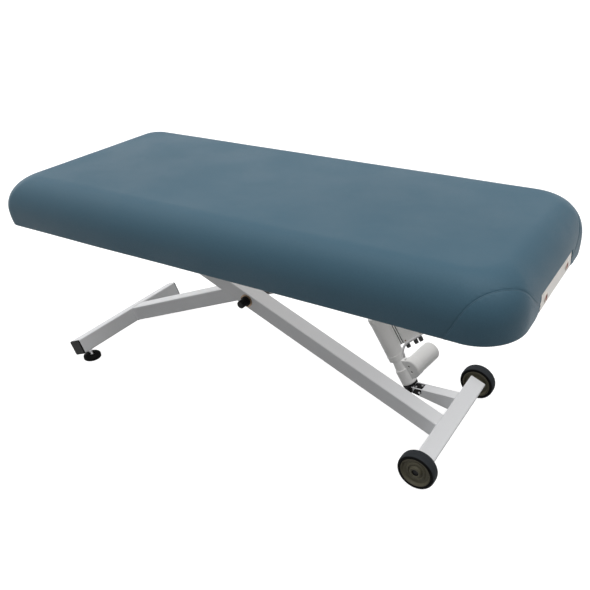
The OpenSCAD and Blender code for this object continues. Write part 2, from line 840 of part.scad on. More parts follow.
// Black sleeve that keeps the beams apart
module pivot_spacer() {
    color([0.06, 0.06, 0.06]) on_near_beam() pivot_ring(spacer_r, pivot_gap_near_y, pivot_gap_far_y - seat);
}

// Bush in the far beam's sleeve, which the bolt runs in
module pivot_bush() {
    color("peru") on_far_beam() difference() {
        rod_y(pivot_r + bush_wall - seat, beam_far_y - tube / 2, beam_far_y + tube / 2);
        rod_y(pivot_r + run_fit, beam_far_y - tube, beam_far_y + tube);
    }
}

module foot_bar() {
    color("lightgray") on_far_beam() translate([-arm_low, foot_bar_shift, 0]) difference() {
        tube_y(foot_bar_half_len);
        for (y = [-1, 1]) translate([0, y * (foot_bar_half_len - stud_in), -tube])
            cylinder(h = tube, r = stud_r + seat);
    }
}

// Black end plugs with a stepped head and a shank inside the tube
module foot_bar_plugs() {
    color([0.05, 0.05, 0.05]) translate([0, foot_bar_shift, 0])
        for (side = [0, 1]) mirror([0, side, 0]) on_far_beam() translate([-arm_low, foot_bar_half_len, 0]) {
            translate([0, plug_t, 0]) rotate([90, 0, 0]) linear_extrude(plug_t)
                round_rect(tube, tube, tube_r);
            translate([0, plug_t + plug_step, 0]) rotate([90, 0, 0]) linear_extrude(plug_step)
                round_rect(tube - 2 * plug_step, tube - 2 * plug_step, tube_r - plug_step);
            rotate([90, 0, 0]) linear_extrude(plug_in) round_rect(plug_w, plug_w, tube_r - tube_wall);
        }
}

// Place of a levelling foot on the foot bar
module at_studs() {
    on_far_beam() for (side = [-1, 1])
        translate([-arm_low, foot_bar_shift + side * (foot_bar_half_len - stud_in), 0]) children();
}

// Studs with a ball at the lower end
module levelling_studs() {
    top = -tube / 2 + tube_wall + insert_t;
    color("silver") at_studs() {
        translate([0, 0, -stud_len]) cylinder(h = stud_len + top, r = stud_r);
        translate([0, 0, -stud_len]) sphere(ball_r);
    }
}

// Threaded inserts inside the bar and lock nuts under it
module levelling_nuts() {
    color("gray") at_studs() difference() {
        union() {
            translate([0, 0, -tube / 2 + tube_wall]) cylinder(h = insert_t, r = insert_r);
            translate([0, 0, -tube / 2 - lock_nut_t]) cylinder(h = lock_nut_t, r = lock_nut_r, $fn = 6);
        }
        translate([0, 0, -tube]) cylinder(h = tube + insert_t, r = stud_r + seat / 2);
    }
}

// A domed rubber pad with a socket for the ball and room for the stud to tilt
module foot_pad(side) {
    x = pivot_x - arm_low * cos(lift_angle) + stud_len * sin(lift_angle);
    y = foot_bar_shift + side * (foot_bar_half_len - stud_in);
    color([0.04, 0.04, 0.04]) translate([x, y, 0]) difference() {
        rotate_extrude() union() {
            square([pad_r, pad_edge_h - pad_round]);
            square([pad_r - pad_round, pad_edge_h]);
            translate([pad_r - pad_round, pad_edge_h - pad_round]) circle(pad_round);
            polygon([[0, 0], [pad_r - pad_round, 0], [pad_r - pad_round, pad_edge_h],
                [pad_neck_r + pad_round, pad_h - pad_round], [pad_neck_r, pad_h], [0, pad_h]]);
        }
        translate([0, 0, ball_z]) sphere(ball_r + seat);
        translate([0, 0, ball_z])
            cylinder(h = pad_h - ball_z + over, r1 = ball_r + seat / 2, r2 = pad_mouth_r);
    }
}

module foot_pad_near() { foot_pad(-1); }
module foot_pad_far() { foot_pad(1); }

// Tapered arm on the wheel bar: two cheeks joined by plates, and open at the tip inside the actuator's fork
module actuator_arm() {
    bar_x = arm_low - tube / 2;
    gap = arm_w - 2 * arm_wall;
    color("lightgray") on_near_beam() translate([0, act_y, 0]) difference() {
        rotate([90, 0, 0]) {
            for (z = [-arm_w / 2, gap / 2]) translate([0, 0, z])
                linear_extrude(arm_wall) arm_outline(bar_x);
            linear_extrude(gap, center = true) arm_plates(bar_x);
        }
        translate([act_low_x, 0, -act_low_z]) rod_y(act_pin_r + seat / 2, -arm_w, arm_w);
    }
}

// Side view of a cheek, from the rounded tip to the bar's face
module arm_outline(bar_x) {
    r = arm_tip_r;
    translate([act_low_x, -act_low_z]) circle(r);
    polygon([[act_low_x, -act_low_z - r], [bar_x, -tube / 2], [bar_x, tube / 2],
        [act_low_x - r * sin(lift_angle), -act_low_z + r * cos(lift_angle)]]);
}

// Side view of the two plates between the cheeks, which stop short of the tip
module arm_plates(bar_x) {
    from = act_low_x + arm_plate_gap;
    part = (from - act_low_x) / (bar_x - act_low_x);
    top = (arm_tip_r - act_low_z) * (1 - part) + tube / 2 * part;
    low = (-arm_tip_r - act_low_z) * (1 - part) - tube / 2 * part;
    polygon([[from, top], [bar_x, tube / 2], [bar_x, tube / 2 - arm_wall], [from, top - arm_wall]]);
    polygon([[from, low], [bar_x, -tube / 2], [bar_x, -tube / 2 + arm_wall], [from, low + arm_wall]]);
}

// Lower bolt of the actuator, with a head and a nut outside the fork
module arm_pin() {
    half = fork_w / 2 + fork_play;
    color([0.12, 0.12, 0.12]) on_near_beam() translate([act_low_x, act_y, -act_low_z]) {
        rod_y(act_pin_r, -half, half);
        hex_y(pin_head_r, -half - pin_head_t, -half);
        hex_y(pin_head_r, half, half + pin_head_t);
    }
}

// Black fork that carries the gearbox on the lower bolt: a round base and two cheeks outside the arm's tip
module actuator_fork() {
    base_z = arm_tip_r + fork_gap;
    color([0.06, 0.06, 0.06]) on_actuator() difference() {
        union() {
            translate([0, 0, base_z]) cylinder(h = gearbox_from - base_z, r = gearbox_r);
            for (y = [-fork_w / 2, fork_w / 2 - fork_t]) translate([0, y + fork_t, 0]) rotate([90, 0, 0])
                linear_extrude(fork_t) {
                    circle(fork_r);
                    translate([-fork_r, 0]) square([2 * fork_r, gearbox_from]);
                }
        }
        rod_y(act_pin_r + run_fit, -fork_w, fork_w);
    }
}

// Gearbox: a round housing and neck on the spindle, with a flat-faced case beside it for the motor
module actuator_gearbox() {
    r = gearbox_r;
    c = gearbox_round;
    d = c * (1 - sin(quarter / 2));
    web = cover_front - cover_bevel;
    color([0.78, 0.78, 0.78]) on_actuator() difference() {
        union() {
            rotate_extrude() polygon([[0, gearbox_from], [r - c, gearbox_from], [r - d, gearbox_from + d],
                [r, gearbox_from + c], [r, neck_from], [neck_r, neck_from],
                [neck_r - cover_bevel, collar_from], [0, collar_from]]);
            rotate([90, 0, 0]) linear_extrude(2 * web, center = true)
                polygon([[0, gearbox_from + c], [motor_off, motor_up - cover_r + cover_bevel],
                    [motor_off, motor_up + cover_r - cover_bevel], [0, collar_from - cover_bevel]]);
            motor_place() rotate_extrude() polygon([
                [0, -cover_front], [cover_r - cover_bevel, -cover_front],
                [cover_r, cover_bevel - cover_front], [cover_r, cover_len - cover_front - cover_bevel],
                [motor_r, cover_len - cover_front], [0, cover_len - cover_front]]);
            translate(beside_box(gland_side, gland_front, motor_up))
                cylinder(h = gland_z - motor_up, r = lead_r + gland_wall);
        }
        motor_place() for (x = [-1, 1]) translate([x * cover_hole_gap / 2, 0, -cover_front - over])
            cylinder(h = cover_hole_deep + over, r = cover_hole_r);
    }
}

// Frame of the motor: Z runs back along its axle, square to the spindle and beside it
module motor_place() {
    translate([motor_off, 0, motor_up]) rotate([0, 0, motor_turn]) rotate([0, 90, 0]) children();
}

// Motor housing: a cylinder with a domed end
module actuator_motor() {
    start = cover_len - cover_front;
    color([0.78, 0.78, 0.78]) on_actuator() motor_place() rotate_extrude() {
        translate([0, start]) square([motor_r, motor_len - start - motor_dome]);
        translate([0, motor_len - motor_dome]) square([motor_r - motor_dome, motor_dome]);
        intersection() {
            translate([motor_r - motor_dome, motor_len - motor_dome]) circle(motor_dome);
            translate([0, start]) square([motor_r, motor_len]);
        }
    }
}

// Lead screw inside the tube, which drives the rod
module actuator_spindle() {
    from = collar_from + collar_len;
    color("silver") on_actuator() translate([0, 0, from]) cylinder(h = spindle_end - from, r = spindle_r);
}

// Collar that clamps the tube to the gearbox
module actuator_collar() {
    r = act_tube_r;
    b = collar_bead;
    top = collar_from + collar_len;
    color([0.76, 0.76, 0.76]) on_actuator() rotate_extrude()
        polygon([[0, collar_from], [r - b, collar_from], [r, collar_from + b],
            [r, top - 2 * b], [r + b, top - 2 * b], [r + b, top], [0, top]]);
}

// Outer tube of the actuator
module actuator_tube() {
    from = collar_from + collar_len;
    color([0.80, 0.80, 0.80]) on_actuator() translate([0, 0, from]) difference() {
        cylinder(h = cap_from - from, r = act_tube_r);
        translate([0, 0, -over]) cylinder(h = cap_from, r = act_tube_r - tube_wall_t);
    }
}

// End cap of the tube, which guides the rod and is held by a screw
module tube_end_cap() {
    r = act_tube_r + cap_over;
    c = end_cap_len / 4;
    color([0.76, 0.76, 0.76]) on_actuator() translate([0, 0, cap_from]) {
        rotate_extrude() polygon([[rod_r + rod_play, 0], [r, 0], [r, end_cap_len - c], [r - c, end_cap_len],
            [rod_r + rod_play, end_cap_len]]);
        translate([0, 0, c]) rod_y(cap_screw_r, -r - cap_screw_h, -r + cap_over);
    }
}

// Hollow rod over the lead screw, with a flat tongue, an eye and the pin that runs in the slots
module actuator_rod() {
    half = tongue_w / 2 + lug_play + lug_t;
    tip = act_len - tongue_len;
    color("silver") on_actuator() difference() {
        union() {
            translate([0, 0, rod_from]) cylinder(h = tip - rod_from, r = rod_r);
            translate([-rod_r, -tongue_w / 2, tip]) cube([2 * rod_r, tongue_w, tongue_len]);
            translate([0, 0, act_len]) {
                rod_y(eye_r, -tongue_w / 2, tongue_w / 2);
                rod_y(act_pin_r, -half + lug_play, half + lug_play + pin_head_t);
                rod_y(pin_head_r, half + lug_play, half + lug_play + pin_head_t);
            }
        }
        translate([0, 0, rod_from - over]) cylinder(h = spindle_end + rod_in - rod_from, r = rod_bore_r);
    }
}

// Bracket on the far beam's side: two slotted lugs under a bridge, for the rod's pin
module rod_bracket() {
    half_l = lug_r + slot_reach;
    inner_y = beam_far_y + tube / 2;
    outer_y = act_y + tongue_w / 2 + lug_play;
    slot_r = act_pin_r + slot_room;
    color("lightgray") on_far_beam() translate([act_up_x, 0, -act_up_z]) {
        for (span = [[inner_y, act_y - tongue_w / 2 - lug_play], [outer_y, outer_y + lug_t]])
            translate([0, span[1], 0]) rotate([90, 0, 0]) linear_extrude(span[1] - span[0]) difference() {
                union() {
                    for (x = [-1, 1]) translate([x * slot_reach, 0]) circle(lug_r);
                    translate([-slot_reach, -lug_r]) square([2 * slot_reach, lug_r]);
                    translate([-half_l, 0]) square([2 * half_l, lug_top + lug_t]);
                }
                square([2 * slot_reach, 2 * slot_r], center = true);
                for (x = [-1, 1]) translate([x * slot_reach, 0]) circle(slot_r);
            }
        translate([-half_l, inner_y, lug_top]) cube([2 * half_l, outer_y + lug_t - inner_y, lug_t]);
    }
}

// A point beside the control box: along its face, in front of the spindle, and up
function beside_box(along, front, up) =
    along * [cos(box_turn), sin(box_turn), 0] + front * [sin(box_turn), -cos(box_turn), 0] + [0, 0, up];

// Frame of the control box: X runs along its face, away from the tube, and Y into its depth
module box_place() {
    rotate([0, 0, box_turn]) translate([0, -box_face, box_from]) children();
}

// Mount between the tube and the control box, set back at its ends
module box_mount() {
    w = box_start - seat - mount_start;
    color([0.74, 0.74, 0.74]) on_actuator() difference() {
        box_place() translate([mount_start - act_tube_r, (box_d - mount_d) / 2, box_seam])
            cube([w + act_tube_r, mount_d, box_len - 2 * box_seam]);
        cylinder(h = cap_from + cap_from, r = act_tube_r + seat);
    }
}

// Control box: a rounded flat case
module control_box() {
    color([0.80, 0.80, 0.80]) on_actuator() box_place() translate([box_start + box_w / 2, box_d / 2, 0])
        linear_extrude(box_len) round_rect(box_w, box_d, box_round);
}

// Ribbed plugs in the lower end of the control box
module box_plugs() {
    color([0.08, 0.08, 0.08]) on_actuator() box_place() for (share = plug_at_shares)
        translate([box_start + box_w * share, plug_back, -plug_len]) {
            cylinder(h = plug_len, r = plug_r);
            for (k = [1:plug_ribs]) translate([0, 0, plug_len * k / (plug_ribs + 1)])
                cylinder(h = plug_rib, r = plug_r + plug_rib);
        }
}

// Points of the lead: up from its gland, past the collar, and along the lower edge of the box's face
lead_from_z = gland_z + seat + lead_r + lead_bead;
lead_end_front = box_face + seat + lead_r + lead_bead;
lead_points = [for (i = [0:len(lead_up_shares) - 1])
    beside_box(gland_side + (lead_end_side - gland_side) * lead_along_shares[i],
        gland_front + (lead_end_front - gland_front) * lead_back_shares[i],
        lead_from_z + (box_from + lead_end_h - lead_from_z) * lead_up_shares[i])];

// Lead from the gearbox to the control box
module motor_lead() {
    $fn = lead_sides;
    color([0.75, 0.75, 0.75]) on_actuator() {
        for (p = lead_points) translate(p) sphere(lead_r + lead_bead);
        for (i = [1:len(lead_points) - 1]) let (d = lead_points[i] - lead_points[i - 1])
            translate(lead_points[i - 1]) rotate([0, acos(d[2] / norm(d)), atan2(d[1], d[0])])
                cylinder(h = norm(d), r = lead_r);
    }
}

upholstery();
deck_board();
side_rail_near();
side_rail_far();
foot_end_rail();
head_end_rail();
corner_braces();
head_plate();
socket_near();
socket_far();
socket_rims();
steel_rail_near();
steel_rail_far();
steel_crosses();
hinge_plate_near();
hinge_plate_far();
hinge_pins();
roller_track_near();
roller_track_far();
near_beam();
near_beam_upper_bar();
hinge_bushes();
wheel_bar();
wheel_bar_plugs();
axle_bolts();
actuator_arm();
arm_pin();
pivot_bolt();
pivot_cap();
pivot_washers();
pivot_spacer();
far_beam();
pivot_bush();
far_beam_upper_bar();
roller_axles();
roller_near();
roller_far();
foot_bar();
foot_bar_plugs();
levelling_studs();
levelling_nuts();
rod_bracket();
foot_pad_near();
foot_pad_far();
tyre_near();
hub_near();
tyre_far();
hub_far();
actuator_fork();
actuator_gearbox();
actuator_motor();
actuator_spindle();
actuator_tube();
actuator_collar();
tube_end_cap();
box_mount();
control_box();
box_plugs();
motor_lead();
actuator_rod();
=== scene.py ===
import json
import math

import bmesh
import bpy
from mathutils import Matrix, Vector, noise

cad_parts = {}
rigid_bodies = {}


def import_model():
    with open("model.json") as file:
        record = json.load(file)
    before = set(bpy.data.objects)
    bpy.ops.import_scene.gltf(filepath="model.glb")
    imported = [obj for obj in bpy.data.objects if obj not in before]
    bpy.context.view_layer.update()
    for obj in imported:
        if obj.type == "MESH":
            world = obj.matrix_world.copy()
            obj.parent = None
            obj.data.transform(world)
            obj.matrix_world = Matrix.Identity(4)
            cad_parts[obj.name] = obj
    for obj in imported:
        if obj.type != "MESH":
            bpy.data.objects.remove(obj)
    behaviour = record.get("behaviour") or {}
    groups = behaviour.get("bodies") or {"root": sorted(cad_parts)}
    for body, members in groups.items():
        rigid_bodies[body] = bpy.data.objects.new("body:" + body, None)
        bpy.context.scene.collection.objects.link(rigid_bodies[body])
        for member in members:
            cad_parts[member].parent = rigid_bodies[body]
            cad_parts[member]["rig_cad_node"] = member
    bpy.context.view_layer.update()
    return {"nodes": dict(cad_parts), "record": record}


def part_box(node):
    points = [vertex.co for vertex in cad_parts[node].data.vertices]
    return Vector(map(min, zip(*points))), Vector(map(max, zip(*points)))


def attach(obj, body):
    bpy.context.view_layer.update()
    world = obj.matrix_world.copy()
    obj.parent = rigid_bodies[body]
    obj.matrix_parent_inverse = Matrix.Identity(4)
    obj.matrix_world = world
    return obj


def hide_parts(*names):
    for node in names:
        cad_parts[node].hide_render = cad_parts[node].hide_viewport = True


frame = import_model()


# ---------------------------------------------------------------- camera
# It stands where the photograph was taken from. The frame's side, the focal length and the principal point
# are in the photograph's pixels, the place is in metres and the turns are in radians.
FRAME_PX, CAM_F_PX, CAM_PP = 590.0, 705.81, (365.02, 259.98)
CAM_AT = (1.3286, -1.7664, 1.6071)
CAM_YAW, CAM_PITCH, CAM_ROLL = -0.52316, 0.45786, -0.03006
SENSOR, CLIP_END = 36.0, 60


def add_camera():
    """The photograph's camera, with the crop of its frame kept as a lens shift."""
    data = bpy.data.cameras.new("camera")
    cam = bpy.data.objects.new("camera", data)
    bpy.context.scene.collection.objects.link(cam)
    ahead = Vector((math.sin(CAM_YAW) * math.cos(CAM_PITCH), math.cos(CAM_YAW) * math.cos(CAM_PITCH),
                    -math.sin(CAM_PITCH)))
    level = Vector((math.cos(CAM_YAW), -math.sin(CAM_YAW), 0))
    over = level.cross(ahead)
    c, s = math.cos(CAM_ROLL), math.sin(CAM_ROLL)
    right, up = c * level + s * over, -s * level + c * over
    rot = Matrix((right, up, -ahead)).transposed()
    cam.matrix_world = Matrix.Translation(CAM_AT) @ rot.to_4x4()
    data.sensor_width = SENSOR
    data.lens = CAM_F_PX / FRAME_PX * SENSOR
    data.shift_x = (FRAME_PX / 2 - CAM_PP[0]) / FRAME_PX
    data.shift_y = (CAM_PP[1] - FRAME_PX / 2) / FRAME_PX
    data.clip_end = CLIP_END
    bpy.context.scene.camera = cam


add_camera()


# ---------------------------------------------------------------- places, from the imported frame
JOINTS = {j["name"]: j for j in frame["record"]["behaviour"]["joints"]}
BODY_OF = {n: body for body, nodes in frame["record"]["behaviour"]["bodies"].items() for n in nodes}
PIVOT = Vector(JOINTS["centre_pivot"]["pos_m"])
WHEELS = {side: Vector(JOINTS["wheel_%s_spin" % side]["pos_m"]) for side in ("near", "far")}
ARM = math.hypot(WHEELS["near"].x - PIVOT.x, PIVOT.z - WHEELS["near"].z)
LIFT = math.asin((PIVOT.z - WHEELS["near"].z) / ARM)
ACT_LOW = Vector(JOINTS["actuator_hinge"]["pos_m"])
ACT_UP = Vector(JOINTS["rod_slide"]["axis"])
# The beams' tube and the middle planes of the near and the far beam
TUBE, NEAR_Y, FAR_Y = 0.060, -0.050, 0.056


def beam_frame(sign):
    """Frame of a beam: X along it, Z square to it; the near beam falls to the wheels, the far one rises."""
    return Matrix.Translation(PIVOT) @ Matrix.Rotation(sign * LIFT, 4, "Y")


ON_NEAR, ON_FAR = beam_frame(1), beam_frame(-1)
ACT_X = Vector((ACT_UP.z, 0, -ACT_UP.x))
ON_ACT = Matrix.Translation(ACT_LOW) @ Matrix((ACT_X, Vector((0, 1, 0)), ACT_UP)).transposed().to_4x4()


# ---------------------------------------------------------------- materials
# The seam of a head corner is a bowed plane: its normal (mirrored on the far side) and its offset, then the
# bow across and up as the middle, the span, and the bow one span away. It starts at SEAM_FROM_Y and fades in.
SEAM_NORMAL, SEAM_OFFSET = Vector((1.0, 0.783, -0.362)), 0.8454
SEAM_BOW = ((0.280, 0.100, 0.0234), (0.720, 0.060, 0.0114))
SEAM_FROM_Y, SEAM_FADE = 0.150, 0.003
# Painted shade in a seam's groove: how far out it reaches, the core where it is fullest, and its strength
# there
SEAM_LINE, SEAM_LINE_CORE, SEAM_SHADE = 0.0014, 0.0014 / 3, 0.75
# How much paler a dusty spot is, in steps of 255, how wide the painted highlight on a tread fades in,
# late wood's share of the early wood's colour, and the samples of the rounded edges
DUST_PALER, TREAD_HIGHLIGHT_FADE, LATE_WOOD, EDGE_SAMPLES = 34, 0.002, (0.72, 0.62, 0.5), 6


class Nodes:
    """A short way to write a node tree. Scales are per metre of the object, and sizes are in metres."""

    def __init__(self, name):
        self.mat = bpy.data.materials.new(name)
        self.mat.use_nodes = True
        self.t = self.mat.node_tree
        self.t.nodes.clear()
        self.out = self.t.nodes.new("ShaderNodeOutputMaterial")
        self.bsdf = self.t.nodes.new("ShaderNodeBsdfPrincipled")
        self.t.links.new(self.bsdf.outputs[0], self.out.inputs[0])
        self.coord = self.t.nodes.new("ShaderNodeTexCoord").outputs["Object"]

    def link(self, a, b):
        self.t.links.new(a, b)

    def noise(self, scale, detail=3.0, rough=0.5, stretch=None, coord=None):
        n = self.t.nodes.new("ShaderNodeTexNoise")
        n.inputs["Scale"].default_value = scale
        n.inputs["Detail"].default_value = detail
        n.inputs["Roughness"].default_value = rough
        self.link(self.mapped(stretch, coord), n.inputs["Vector"])
        return n.outputs["Fac"]

    def mapped(self, stretch, coord=None):
        if stretch is None:
            return coord or self.coord
        m = self.t.nodes.new("ShaderNodeMapping")
        m.inputs["Scale"].default_value = stretch
        self.link(coord or self.coord, m.inputs["Vector"])
        return m.outputs["Vector"]

    def cells(self, scale):
        """The distance to the edges of small cells."""
        n = self.t.nodes.new("ShaderNodeTexVoronoi")
        n.feature = "DISTANCE_TO_EDGE"
        n.inputs["Scale"].default_value = scale
        self.link(self.coord, n.inputs["Vector"])
        return n.outputs["Distance"]

    def span(self, value, lo, hi, a=0.0, b=1.0):
        """The value's smooth step from lo to hi, as a to b."""
        n = self.t.nodes.new("ShaderNodeMapRange")
        n.interpolation_type = "SMOOTHSTEP"
        for k, v in zip(("From Min", "From Max", "To Min", "To Max"), (lo, hi, a, b)):
            n.inputs[k].default_value = v
        self.link(value, n.inputs["Value"])
        return n.outputs["Result"]

    def maths(self, op, a, b=None):
        n = self.t.nodes.new("ShaderNodeMath")
        n.operation = op
        for k, v in enumerate((a, b)):
            if v is None:
                continue
            if isinstance(v, (int, float)):
                n.inputs[k].default_value = v
            else:
                self.link(v, n.inputs[k])
        return n.outputs[0]

    def mix(self, fac, a, b):
        n = self.t.nodes.new("ShaderNodeMix")
        n.data_type = "RGBA"
        for sock, v in ((n.inputs[0], fac), (n.inputs[6], a), (n.inputs[7], b)):
            if isinstance(v, (int, float)):
                sock.default_value = v
            elif isinstance(v, tuple):
                sock.default_value = (*v, 1)
            else:
                self.link(v, sock)
        return n.outputs[2]

    def bump(self, height, strength, distance, after=None):
        n = self.t.nodes.new("ShaderNodeBump")
        n.inputs["Strength"].default_value = strength
        n.inputs["Distance"].default_value = distance
        self.link(height, n.inputs["Height"])
        if after is not None:
            self.link(after, n.inputs["Normal"])
        return n.outputs["Normal"]

    def edges(self, radius):
        """A rounded-edge normal for sharp CAD edges."""
        n = self.t.nodes.new("ShaderNodeBevel")
        n.samples = EDGE_SAMPLES
        n.inputs["Radius"].default_value = radius
        return n.outputs["Normal"]

    def pointed(self, lo, hi):
        """1 on outer edges."""
        g = self.t.nodes.new("ShaderNodeNewGeometry")
        return self.span(g.outputs["Pointiness"], lo, hi)

    def patches(self, scale, detail, lo, hi, amount):
        """Soft patches of a noise, up to an amount."""
        return self.maths("MULTIPLY", self.span(self.noise(scale, detail), lo, hi), amount)

    def uneven(self, scale, detail, low, high):
        """A value that drifts between two over the surface."""
        return self.span(self.noise(scale, detail), 0.3, 0.7, low, high)

    def set(self, **looks):
        """Sets or links inputs of the surface, by their names with underscores."""
        for k, v in looks.items():
            sock = self.bsdf.inputs[k.replace("_", " ")]
            if isinstance(v, tuple):
                sock.default_value = (*v, 1) if len(v) == 3 else v
            elif isinstance(v, (int, float)):
                sock.default_value = v
            else:
                self.link(v, sock)


def lin(*rgb):
    """sRGB 0-255 to the linear colour that Blender wants."""
    return tuple((c / 255 / 12.92) if c <= 10 else ((c / 255 + 0.055) / 1.055) ** 2.4 for c in rgb)


def shade(colour, share):
    """A colour made darker or lighter by a factor."""
    return tuple(min(1.0, c * share) for c in colour)


def vinyl(name, rgb):
    """Satin vinyl with slow changes of tone, fine specks, a pebbled grain, and painted shade in the head
    corner seams' grooves.
    """
    m = Nodes(name)
    base = lin(*rgb)
    col = m.mix(m.patches(1.6, detail=2.0, lo=0.3, hi=0.7, amount=0.5), base, shade(base, 0.90))
    col = m.mix(m.patches(240.0, detail=2.0, lo=0.35, hi=0.65, amount=0.25), col, shade(base, 0.8))
    # Painted shade in the grooves of the head corner seams
    col = m.mix(painted_seam_shade(m), col, shade(base, 0.38))
    pebbles, pores = m.span(m.cells(900.0), 0.0, 0.25), m.noise(2200.0, detail=2.0)
    grain = m.maths("ADD", m.maths("MULTIPLY", pebbles, 0.7), m.maths("MULTIPLY", pores, 0.3))
    n = m.bump(grain, strength=0.35, distance=0.00025)
    n = m.bump(m.noise(7.0, detail=3.0), strength=0.15, distance=0.004, after=n)
    m.set(Base_Color=col, Roughness=m.uneven(5.0, 3.0, 0.44, 0.54), Normal=n)
    m.set(Sheen_Weight=0.06, Sheen_Roughness=0.4, Specular_IOR_Level=0.16)
    return m.mat


def painted_seam_shade(m):
    """Painted shade along the head corners' seams: 1 in their grooves and 0 elsewhere, from the same bowed
    planes as the grooves.
    """
    sep = m.t.nodes.new("ShaderNodeSeparateXYZ")
    m.link(m.coord, sep.inputs[0])
    x, z = sep.outputs[0], sep.outputs[2]
    y = m.maths("ABSOLUTE", sep.outputs[1])
    f = m.maths("SUBTRACT", x, SEAM_OFFSET)
    for value, slope, (mid, span, bow) in zip((y, z), SEAM_NORMAL.yz, SEAM_BOW):
        f = m.maths("ADD", f, m.maths("MULTIPLY", value, slope))
        off = m.maths("DIVIDE", m.maths("SUBTRACT", value, mid), span)
        f = m.maths("ADD", f, m.maths("MULTIPLY", m.maths("MULTIPLY", off, off), bow))
    line = m.span(m.maths("ABSOLUTE", f), SEAM_LINE_CORE, SEAM_LINE, SEAM_SHADE, 0.0)
    return m.maths("MULTIPLY", line, m.span(y, SEAM_FROM_Y, SEAM_FROM_Y + SEAM_FADE))


def powder_coat(name, rgb, rough=0.42):
    """Painted steel with orange peel, soft edges and paler corners."""
    m = Nodes(name)
    base = lin(*rgb)
    col = m.mix(m.patches(9.0, detail=3.0, lo=0.35, hi=0.7, amount=0.35), base, shade(base, 0.93))
    col = m.mix(m.maths("MULTIPLY", m.pointed(0.505, 0.56), 0.35), col, shade(base, 1.06))
    n = m.bump(m.noise(700.0, detail=2.0, rough=0.6), strength=0.22, distance=0.0003, after=m.edges(0.0012))
    m.set(Base_Color=col, Roughness=m.uneven(40.0, 3.0, rough - 0.05, rough + 0.07), Normal=n)
    m.set(Specular_IOR_Level=0.25, Coat_Weight=0.04, Coat_Roughness=0.25)
    return m.mat


def plastic(name, rgb, rough, grain=1500.0, depth=0.0001, edge=0.0008, coat=0.0, shine=0.22):
    """Moulded plastic: a fine grain of a scale and depth, soft edges, and patches of a darker shade."""
    m = Nodes(name)
    base = lin(*rgb)
    col = m.mix(m.patches(14.0, detail=3.0, lo=0.35, hi=0.7, amount=0.4), base, shade(base, 0.9))
    n = m.bump(m.noise(grain, detail=2.0, rough=0.6), strength=0.3, distance=depth, after=m.edges(edge))
    m.set(Base_Color=col, Roughness=m.uneven(60.0, 2.0, rough - 0.05, rough + 0.06), Normal=n)
    m.set(Specular_IOR_Level=shine, Coat_Weight=coat, Coat_Roughness=0.2)
    return m.mat


def rubber(name, rgb, rough, dust, tread=None):
    """Rubber with smears of dust. A tread is its colour, radius and axle; past that radius the rubber is
    painted paler, as a highlight.
    """
    m = Nodes(name)
    base, dusty = lin(*rgb), lin(*(c + DUST_PALER for c in rgb))
    smear = m.span(m.noise(30.0, detail=4.0, rough=0.6, stretch=(1.0, 0.25, 1.0)), 0.45, 0.75)
    col = m.mix(m.maths("MULTIPLY", smear, dust), base, dusty)
    # Painted highlight: past the tread's radius the rubber takes the paler colour
    if tread:
        paler, radius, axle = tread
        sep = m.t.nodes.new("ShaderNodeSeparateXYZ")
        m.link(m.coord, sep.inputs[0])
        dx, dz = (m.maths("SUBTRACT", sep.outputs[k], axle[k]) for k in (0, 2))
        far = m.maths("SQRT", m.maths("ADD", m.maths("MULTIPLY", dx, dx), m.maths("MULTIPLY", dz, dz)))
        col = m.mix(m.span(far, radius - TREAD_HIGHLIGHT_FADE, radius), col, lin(*paler))
    n = m.bump(m.noise(900.0, detail=3.0, rough=0.6), strength=0.35, distance=0.00025, after=m.edges(0.0008))
    m.set(Base_Color=col, Roughness=m.uneven(50.0, 3.0, rough - 0.06, rough + 0.08), Normal=n)
    m.set(Specular_IOR_Level=0.04)
    return m.mat


def metal(name, rgb, rough, brushed=(1.0, 1.0, 1.0)):
    """Bare metal with streaks, stretched along the axes by the brushing."""
    m = Nodes(name)
    base = lin(*rgb)
    streak = m.noise(180.0, detail=4.0, rough=0.6, stretch=brushed)
    col = m.mix(m.span(streak, 0.3, 0.7, 0.0, 0.5), base, shade(base, 0.75))
    n = m.bump(streak, strength=0.12, distance=0.0001, after=m.edges(0.0006))
    m.set(Base_Color=col, Metallic=1.0, Normal=n)
    m.set(Roughness=m.span(streak, 0.3, 0.7, rough - 0.06, rough + 0.1))
    return m.mat


def wood(name, rgb, along, rough, contrast):
    """Wood with growth rings and pores; its grain runs along the axis with the lowest scale."""
    m = Nodes(name)
    base = lin(*rgb)
    dark = tuple(c * f for c, f in zip(base, LATE_WOOD))
    v = m.mapped(along)
    bend = m.noise(1.2, detail=2.0, coord=v)
    rings = m.t.nodes.new("ShaderNodeTexWave")
    rings.wave_type = "BANDS"
    rings.bands_direction = "Z"
    for k, value in (("Scale", 1.3), ("Distortion", 7.0), ("Detail", 3.0)):
        rings.inputs[k].default_value = value
    m.link(v, rings.inputs["Vector"])
    ringed = m.maths("MULTIPLY", rings.outputs["Fac"], contrast)
    pores = m.noise(9.0, detail=4.0, rough=0.7, stretch=(3.0, 10.0, 10.0), coord=v)
    pores = m.span(pores, 0.52, 0.7, 0.0, contrast)
    col = m.mix(m.maths("ADD", ringed, m.maths("MULTIPLY", bend, contrast * 0.5)), base, dark)
    col = m.mix(pores, col, shade(dark, 0.6))
    relief = m.maths("ADD", rings.outputs["Fac"], pores)
    n = m.bump(relief, strength=0.12, distance=0.0003, after=m.edges(0.0012))
    m.set(Base_Color=col, Roughness=m.uneven(20.0, 3.0, rough - 0.06, rough + 0.08), Normal=n)
    m.set(Coat_Weight=0.15, Coat_Roughness=0.25)
    return m.mat


